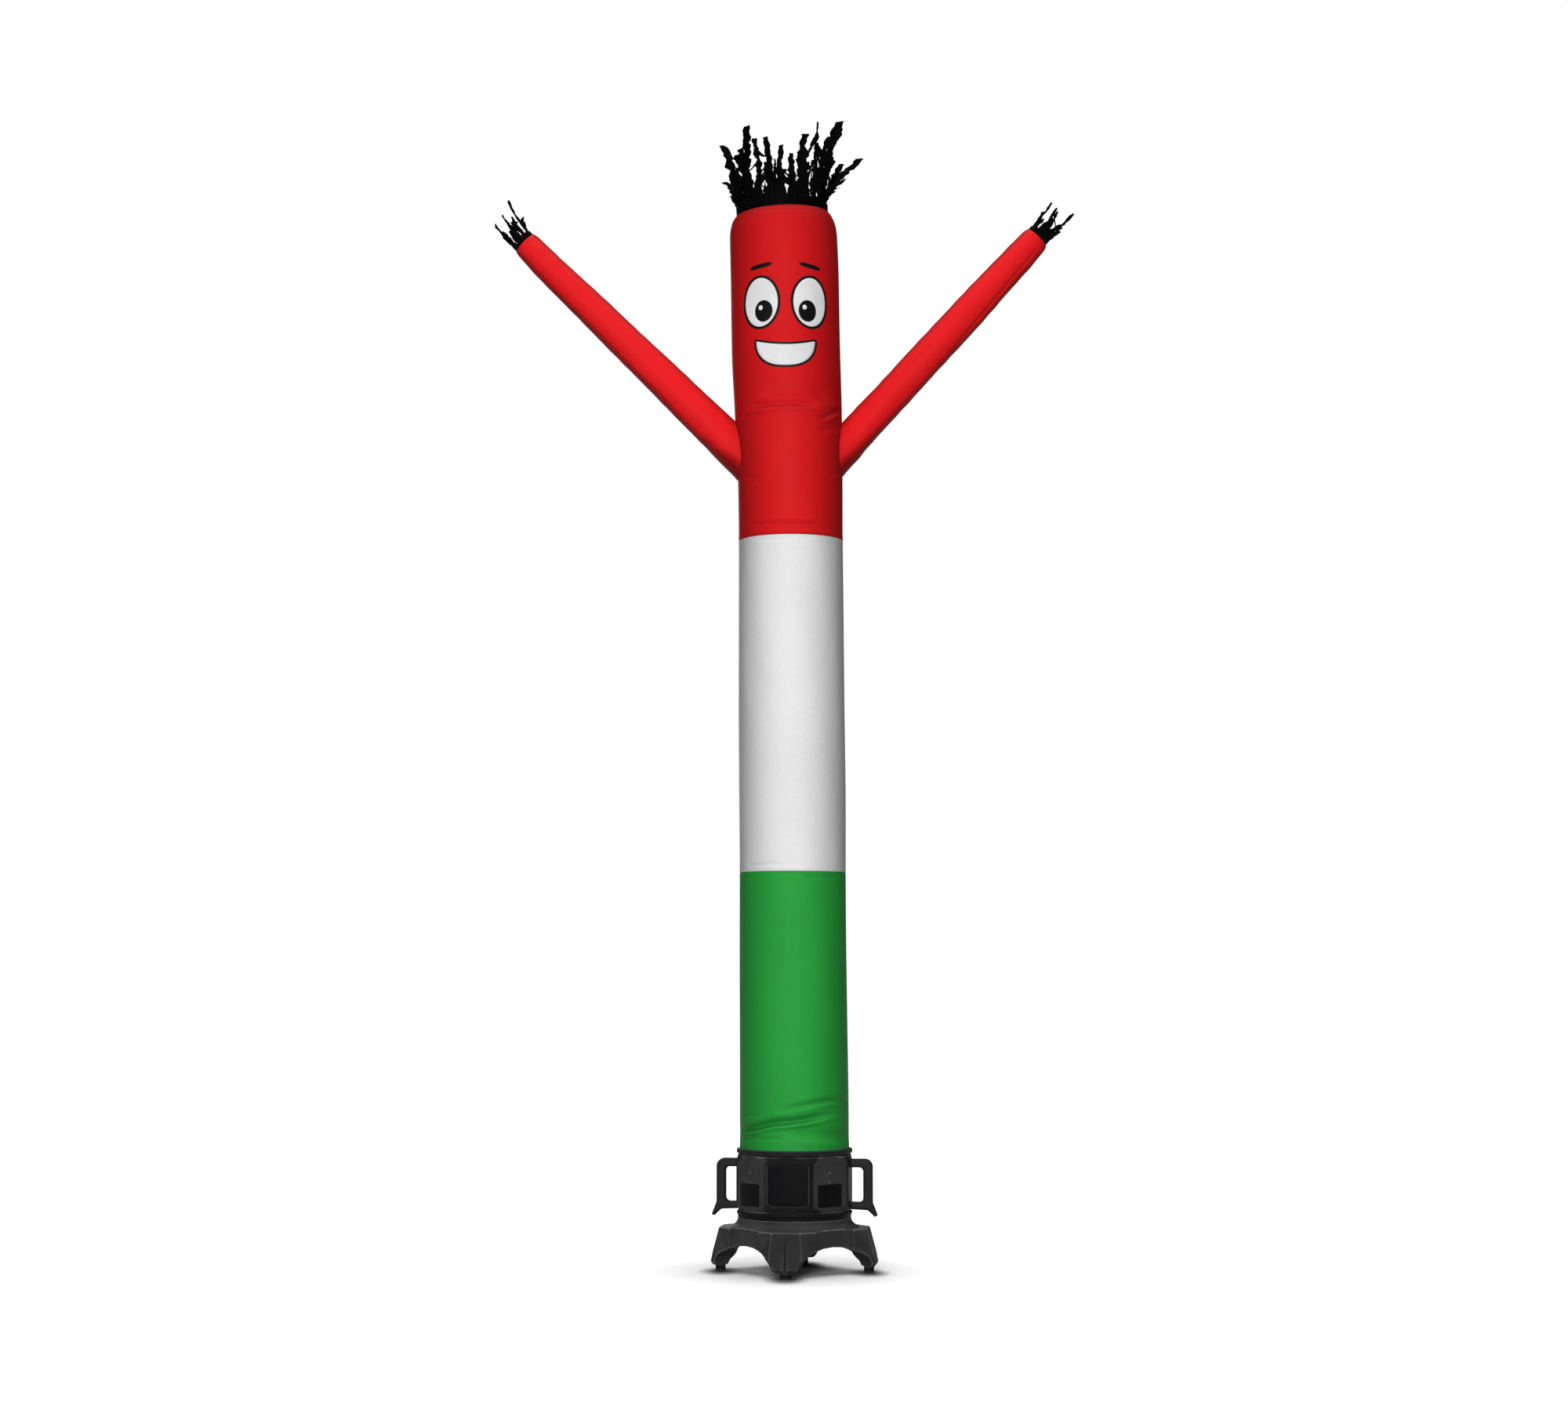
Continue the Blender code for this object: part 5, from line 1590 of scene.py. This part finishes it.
def flatsTree():
    # brings each point of a turned form in to the flats, and the front panel a little further
    inputs = {"Geometry": "Geometry", "Material": "Material"}
    inputs |= {label: "Float" for label in ("Flats", "Flat", "Bevel", "Softness", "Top", "Inside")}
    sizes = ("Width", "Height", "Centre", "Corner", "Depth", "Edge")
    inputs |= {f"Panel {label}": "Float" for label in sizes}
    tree, given = newTree("housingFlats", "Geometry", inputs)
    work = partial(calc, tree)
    width, height, centre, corner, depth, edge = (given[f"Panel {label}"] for label in sizes)
    place = put(tree, "GeometryNodeInputPosition").outputs[0]
    x, y, z = put(tree, "ShaderNodeSeparateXYZ", {0: place}).outputs
    level = vector(tree, x, y, 0.0)
    radius = vectorCalc(tree, "LENGTH", level)
    half = work("DIVIDE", math.pi, given["Flats"])
    turn = work("WRAP", work("ARCTAN2", y, x), half, work("MULTIPLY", half, -1.0))
    toFlat = work("DIVIDE", given["Flat"], work("COSINE", turn))
    fromCorner = work("SUBTRACT", work("ABSOLUTE", turn), half)
    toBevel = work("DIVIDE", given["Bevel"], work("COSINE", fromCorner))
    reach = work("SMOOTH_MIN", toFlat, toBevel, work("MULTIPLY", given["Softness"], 0.5))
    drawn = work("SMOOTH_MIN", radius, reach, given["Softness"])
    below = work("LESS_THAN", z, given["Top"])
    share = work("MULTIPLY", below, work("GREATER_THAN", radius, given["Inside"]))
    change = work("MULTIPLY", work("SUBTRACT", drawn, radius), share)
    inwards = vectorCalc(tree, "SCALE", level, work("DIVIDE", change, radius))
    links = {"Geometry": given["Geometry"], "Offset": inwards}
    cut = put(tree, "GeometryNodeSetPosition", links).outputs[0]

    def beyond(coordinate, side):
        return work("ADD", work("ABSOLUTE", coordinate), work("MULTIPLY_ADD", side, -0.5, corner))

    across = beyond(x, width)
    up = beyond(work("SUBTRACT", z, centre), height)
    rounded = vector(tree, work("MAXIMUM", across, 0.0), work("MAXIMUM", up, 0.0), 0.0)
    within = work("MINIMUM", work("MAXIMUM", across, up), 0.0)
    away = work("SUBTRACT", work("ADD", vectorCalc(tree, "LENGTH", rounded), within), corner)
    pressed = mapped(tree, away, work("MULTIPLY", edge, -1.0), edge, depth, 0.0)
    front = work("LESS_THAN", y, work("MULTIPLY", given["Inside"], -1.0))
    links = {"Geometry": cut, "Offset": vector(tree, 0.0, work("MULTIPLY", pressed, front), 0.0)}
    pressed = put(tree, "GeometryNodeSetPosition", links).outputs[0]
    return closeForm(tree, pressed, given["Material"])


def makeHousing():
    sector = sorted({*housing["columns"], *(-angle for angle in housing["columns"])})[1:]
    middles = [360 / housing["flats"] * index for index in range(housing["flats"])]
    angles = [math.radians(middle + angle) for middle in middles for angle in sector]
    outline = stepped(roundedLoop(housing["form"]), housing["longest"])
    piece = linked("blowerHousing", turnedMesh("blowerHousing", outline, angles))
    values = {"Flats": float(housing["flats"]), "Material": materials["housing"]}
    for key in ("flat", "bevel", "softness", "top", "inside"):
        values[key.title()] = housing[key]
    for key in ("width", "height", "centre", "corner", "depth", "edge"):
        values[f"Panel {key.title()}"] = panel[key]
    piece = runTree(piece, flatsTree(), values)
    piece.data.transform(blowerPlace)
    shadeByAngle(piece.data, 50)
    markWear(piece.data, 2, 1.3)
    markShade(piece.data, *housing["shade"])
    dress(piece, "housing", "housing_plastic", "blower_housing")


# what is fixed to the housing: labels with nothing on them, their screws, handles, the cable's gland

label = {
    "width": 0.083,
    "height": 0.062,
    "centre": 0.218,
    "corner": 0.0025,
    "thickness": 0.0011,
    "edge": 0.0004,
    "off": 0.0002,
    "flats": {"left": -135, "right": -45},
}
screws = {
    "places": {"Upper": (0.281, 0.0036), "Lower": (0.256, 0.003)},  # height, radius
    "rise": 0.0019,
    "rings": 14,
    "sides": 40,
    "recess": (0.13, 0.62, 0.0009),  # half width and length of its arms, in radii, and its depth
}
handle = {
    "depth": 0.03,
    "edge": 0.0058,
    "form": (  # distance from the flat, height, corner radius
        (-0.001, 0.3125, 0.001), (0.031, 0.313, 0.03), (0.063, 0.313, 0.023), (0.063, 0.191, 0.016),
        (0.0767, 0.156, 0.003), (0.069, 0.1528, 0.0032), (0.05, 0.1712, 0.016), (-0.001, 0.1735, 0.001),
        (-0.001, 0.1935, 0.001), (0.037, 0.1935, 0.0115), (0.037, 0.289, 0.0115),
        (-0.001, 0.289, 0.001),
    ),
}
gland = {
    "height": 0.215,
    "form": (  # radius and distance from the flat
        (0.0035, 0.024), (0.0082, 0.024), (0.0095, 0.0228), (0.0095, 0.0185), (0.0088, 0.018),
        (0.0088, 0.0172), (0.0095, 0.0167), (0.0095, 0.0125), (0.0088, 0.012), (0.0088, 0.0112),
        (0.0095, 0.0107), (0.0095, 0.0062), (0.0132, 0.0055), (0.014, 0.0046), (0.014, 0.0003),
        (0.0035, 0.0003),
    ),
}


def onFlat(degrees, out, height):
    # the frame of a place on a flat, its -Y looking outwards
    turn = Matrix.Rotation(math.radians(degrees + 90), 4, "Z")
    return blowerPlace @ turn @ Matrix.Translation((0, -housing["flat"] - out, height))


def plateMesh(name, outline, thickness, edge, rounds=2):
    # a flat plate with rounded edges: its outline in X and Z, its thickness along Y
    curve = bpy.data.curves.new(name, "CURVE")
    curve.dimensions = "2D"
    curve.fill_mode = "BOTH"
    curve.extrude = thickness / 2 - edge
    curve.bevel_depth = edge
    curve.bevel_resolution = rounds
    curve.offset = -edge
    spline = curve.splines.new("POLY")
    spline.points.add(len(outline) - 1)
    for point, (x, z) in zip(spline.points, outline):
        point.co = (x, z, 0, 1)
    spline.use_cyclic_u = True
    piece = settled(linked(name, curve))
    mesh = piece.data
    bpy.data.objects.remove(piece)
    with edited(mesh, weld=True) as bm:
        bm.transform(Matrix.Rotation(math.pi / 2, 4, "X"))
        faceOutwards(bm)
    return mesh


def plateOutline(size, inset=0.0, steps=5):
    x, z = size["width"] / 2 - inset, size["height"] / 2 - inset
    corners = ((x, z), (-x, z), (-x, -z), (x, -z))
    return roundedLoop([(*corner, size["corner"]) for corner in corners], steps)


def fixed(name, mesh, place, sharp, material, slot, *nodes):
    mesh.transform(place)
    shadeByAngle(mesh, sharp)
    return dress(linked(name, mesh), material, slot, *nodes)


def screwMesh(name, radius):
    # a pan head with a cross recess, its face towards -Y
    narrow, long, deep = screws["recess"]
    angles = evenAngles(screws["sides"])
    shares = np.linspace(1, 0, screws["rings"], endpoint=False)
    rows = [(radius, 0.0)]
    rows += [(radius * share, screws["rise"] * math.sqrt(1 - (share * 0.9) ** 2)) for share in shares]
    bm = bmesh.new()
    rings = []
    for reach, rise in rows:
        ring = []
        for x, z in [(reach * math.cos(angle), reach * math.sin(angle)) for angle in angles]:
            sunk = min(abs(x), abs(z)) < radius * narrow and max(abs(x), abs(z)) < radius * long
            ring.append(bm.verts.new((x, deep * sunk - rise, z)))
        rings.append(ring)
    for low, high in zip(rings, rings[1:]):
        for index in range(len(angles)):
            bm.faces.new((low[index - 1], low[index], high[index], high[index - 1]))
    bm.faces.new(rings[-1])
    bm.faces.new(rings[0])
    faceOutwards(bm)
    mesh = bpy.data.meshes.new(name)
    bm.to_mesh(mesh)
    bm.free()
    return mesh


def makeTrim():
    # the panel has a smooth plate of its own, with nothing on it
    plastic, metal = ("label", "label_black"), ("screw", "boss_metal")
    mesh = plateMesh("panelPlate", plateOutline(panel, panel["gap"], 8), panel["plate"], 0.0005)
    place = onFlat(-90, panel["plate"] / 2 - panel["depth"], panel["centre"])
    fixed("panelPlate", mesh, place, 35, *plastic)
    for side, degrees in label["flats"].items():
        mesh = plateMesh("label", plateOutline(label), label["thickness"], label["edge"])
        place = onFlat(degrees, label["off"] + label["thickness"] / 2, label["centre"])
        fixed(f"{side}Label", mesh, place, 35, *plastic, f"label_{side}")
        for level, (height, radius) in screws["places"].items():
            node = f"boss_{side}_{level.lower()}"
            place = onFlat(degrees, -0.0001, height)
            fixed(f"{side}Screw{level}", screwMesh("screw", radius), place, 30, *metal, node)


def makeHandles():
    for side, degrees in {"right": 0, "left": 180}.items():
        mesh = plateMesh("handle", roundedLoop(handle["form"], 7), handle["depth"], handle["edge"], 3)
        turn = blowerPlace @ Matrix.Rotation(math.radians(degrees), 4, "Z")
        place = turn @ Matrix.Translation((housing["flat"], 0, 0))
        fixed(f"{side}Handle", mesh, place, 40, "handle", "handle_plastic", f"handle_{side}")


def makeGland():
    outline = [Vector(point) for point in gland["form"]]
    mesh = turnedMesh("cableGland", outline, evenAngles(48))
    place = onFlat(90, 0, gland["height"]) @ Matrix.Rotation(math.pi / 2, 4, "X")
    piece = fixed("cableGland", mesh, place, 35, "handle", "handle_plastic", "cable_gland")
    markWear(piece.data)


makeHousing()
makeTrim()
makeHandles()
makeGland()
print("the housing and its trim are made")


# the base: the frame's own solid with softly rounded edges, a finely turned neck, and its pads

base = {
    "voxel": 0.0025,
    "rounds": (9, 3),  # of smoothing, before and after the skirt is creased
    "flatWithin": (0.0006, 0.0018),  # nearer the frame's solid than this, a point goes back onto it
    "skirt": {
        "half": 0.0665, "edge": 0.0022, "from": 0.1705, "fade": 0.004, "top": 0.1235, "depth": 0.0032
    },
    "neckFrom": 0.15,
    "neckWithin": (0.1255, 0.1555, 0.1815),  # above this height, between these radii
    "neckBlend": (0.0032, 0.0012),  # points this near its form move, those nearer by the second fully
    "neckForm": (  # height and radius of the neck's cove
        (0.1262, 0.18), (0.127, 0.1775), (0.129, 0.173), (0.135, 0.1652), (0.143, 0.1601),
        (0.151, 0.1585), (0.16, 0.1585),
    ),
    # painted shade of what faces along the axes, and none above this height
    "shade": (0.5, 0.1255, 0.0),
    # painted shade over the whole neck ring
    "ringShade": (0.0, 0.0, 0.85),
    "ringForm": (  # radius, height, corner radius
        (0.1475, 0.1692, 0.0004), (0.1588, 0.1692, 0.0008), (0.1617, 0.1672, 0.0014),
        (0.1617, 0.1618, 0.0016), (0.159, 0.1594, 0.0012), (0.1587, 0.15, 0.0004),
        (0.1475, 0.15, 0.0004),
    ),
}
pad = {
    "reach": 0.209,
    "form": (  # radius and height
        (0.0, 0.0167), (0.0136, 0.0167), (0.0145, 0.0158), (0.0145, 0.012), (0.0138, 0.0112),
        (0.0138, 0.0062), (0.0144, 0.0054), (0.0144, 0.0032), (0.0126, 0.0004),
        (0.0118, 0.0), (0.0, 0.0),
    ),
}


def makeBase():
    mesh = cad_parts["blower_base"].data.copy()
    with edited(mesh, weld=True) as bm:
        whole = BVHTree.FromBMesh(bm)
        place, up = (0, 0, base["neckFrom"] + 0.0004), (0, 0, 1)
        everything = [*bm.verts, *bm.edges, *bm.faces]
        cut = bmesh.ops.bisect_plane(bm, geom=everything, plane_co=place, plane_no=up, clear_outer=True)
        rim = [item for item in cut["geom_cut"] if isinstance(item, bmesh.types.BMEdge)]
        bmesh.ops.bridge_loops(bm, edges=rim)
        faceOutwards(bm)
    mesh.materials.clear()
    piece = linked("blowerBase", mesh)
    remesh = piece.modifiers.new("remesh", "REMESH")
    remesh.mode = "VOXEL"
    remesh.voxel_size = base["voxel"]
    piece = smoothed(piece, base["rounds"][0])
    backOnto(piece.data, whole)
    creaseSkirt(piece.data)
    piece = smoothed(piece, base["rounds"][1])
    turnNeck(piece.data)
    piece.data.shade_smooth()
    markWear(piece.data, 2, 1.5)
    markShade(piece.data, *base["shade"])
    dress(piece, "housing", "housing_plastic", "blower_base")

    outline = stepped(roundedLoop(base["ringForm"], 4), 0.004)
    mesh = turnedMesh("neckRing", outline, evenAngles(128))
    fixed("neckRing", mesh, blowerPlace, 50, "housing", "housing_plastic")
    markShade(mesh, *base["ringShade"])


def smoothed(piece, rounds):
    smooth = piece.modifiers.new("smooth", "SMOOTH")
    smooth.factor = 0.5
    smooth.iterations = rounds
    return settled(piece)


def backOnto(mesh, solid):
    # flat places go back onto the frame's solid, so only its edges stay rounded
    near, far = base["flatWithin"]
    for vert in mesh.vertices:
        place, _, _, distance = solid.find_nearest(vert.co)
        share = float(smoothStep((far - distance) / (far - near)))
        vert.co = vert.co.lerp(place, share)


def creaseSkirt(mesh):
    # the skirt's faces between two legs lie a little back, with a crease beside each leg
    skirt = base["skirt"]
    local = placed(pointsOf(mesh).astype(float), np.array(blowerPlace.inverted()))
    for index in range(4):
        turn = math.radians(45 + 90 * index)
        out = np.array([math.cos(turn), math.sin(turn)])
        side = np.array([-out[1], out[0]])
        away, along = local[:, :2] @ out, local[:, :2] @ side
        share = smoothStep((skirt["half"] - np.abs(along)) / skirt["edge"])
        share = share * smoothStep((away - skirt["from"]) / skirt["fade"]) * (local[:, 2] < skirt["top"])
        local[:, :2] -= out * (share * skirt["depth"])[:, None]
    movePoints(mesh, placed(local, np.array(blowerPlace)))


def turnNeck(mesh):
    # the neck's facets become round again
    form, (level, inner, outer) = base["neckForm"], base["neckWithin"]
    heights = np.linspace(form[0][0], form[-1][0], 240)
    radii = readForm(form, 1, heights)
    places = pointsOf(mesh).astype(float)
    across = places[:, :2] - (blowerX, 0)
    radius = np.hypot(*across.T)
    chosen = (places[:, 2] > level) & (radius > inner) & (radius < outer)
    across, radius, height = across[chosen], radius[chosen], places[chosen, 2]
    gap = np.hypot(radius[:, None] - radii[None], height[:, None] - heights[None])
    nearest = gap.argmin(1)
    far, blend = base["neckBlend"]
    share = smoothStep((far - gap.min(1)) / blend)
    newRadius = radius + (radii[nearest] - radius) * share
    places[chosen, :2] = (blowerX, 0) + across * (newRadius / radius)[:, None]
    places[chosen, 2] = height + (heights[nearest] - height) * share
    movePoints(mesh, places)


def makePads():
    outline = [Vector(point) for point in pad["form"]]
    for index, side in enumerate(("right", "back", "left", "front")):
        mesh = turnedMesh(f"{side}Pad", outline, evenAngles(48), closed=False)
        turn = blowerPlace @ Matrix.Rotation(math.radians(90 * index), 4, "Z")
        place = turn @ Matrix.Translation((pad["reach"], 0, 0))
        fixed(f"{side}Pad", mesh, place, 35, "rubber", "pad_rubber", f"pad_{side}")
        markWear(mesh)


makeBase()
makePads()
print("the base and its pads are made")


# the cloth sections' levels, and what goes with the red one, gathered but not kept


def declareSheets():
    levels = [tube[key] for key in ("foot", "greenTop", "whiteTop", "hem")]
    for colour, low, high in zip(("green", "white", "red"), levels, levels[1:]):
        extras = [*facePieces, *fringes["hair"]] if colour == "red" else []
    for name in arms:
        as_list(fringes[name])


declareSheets()
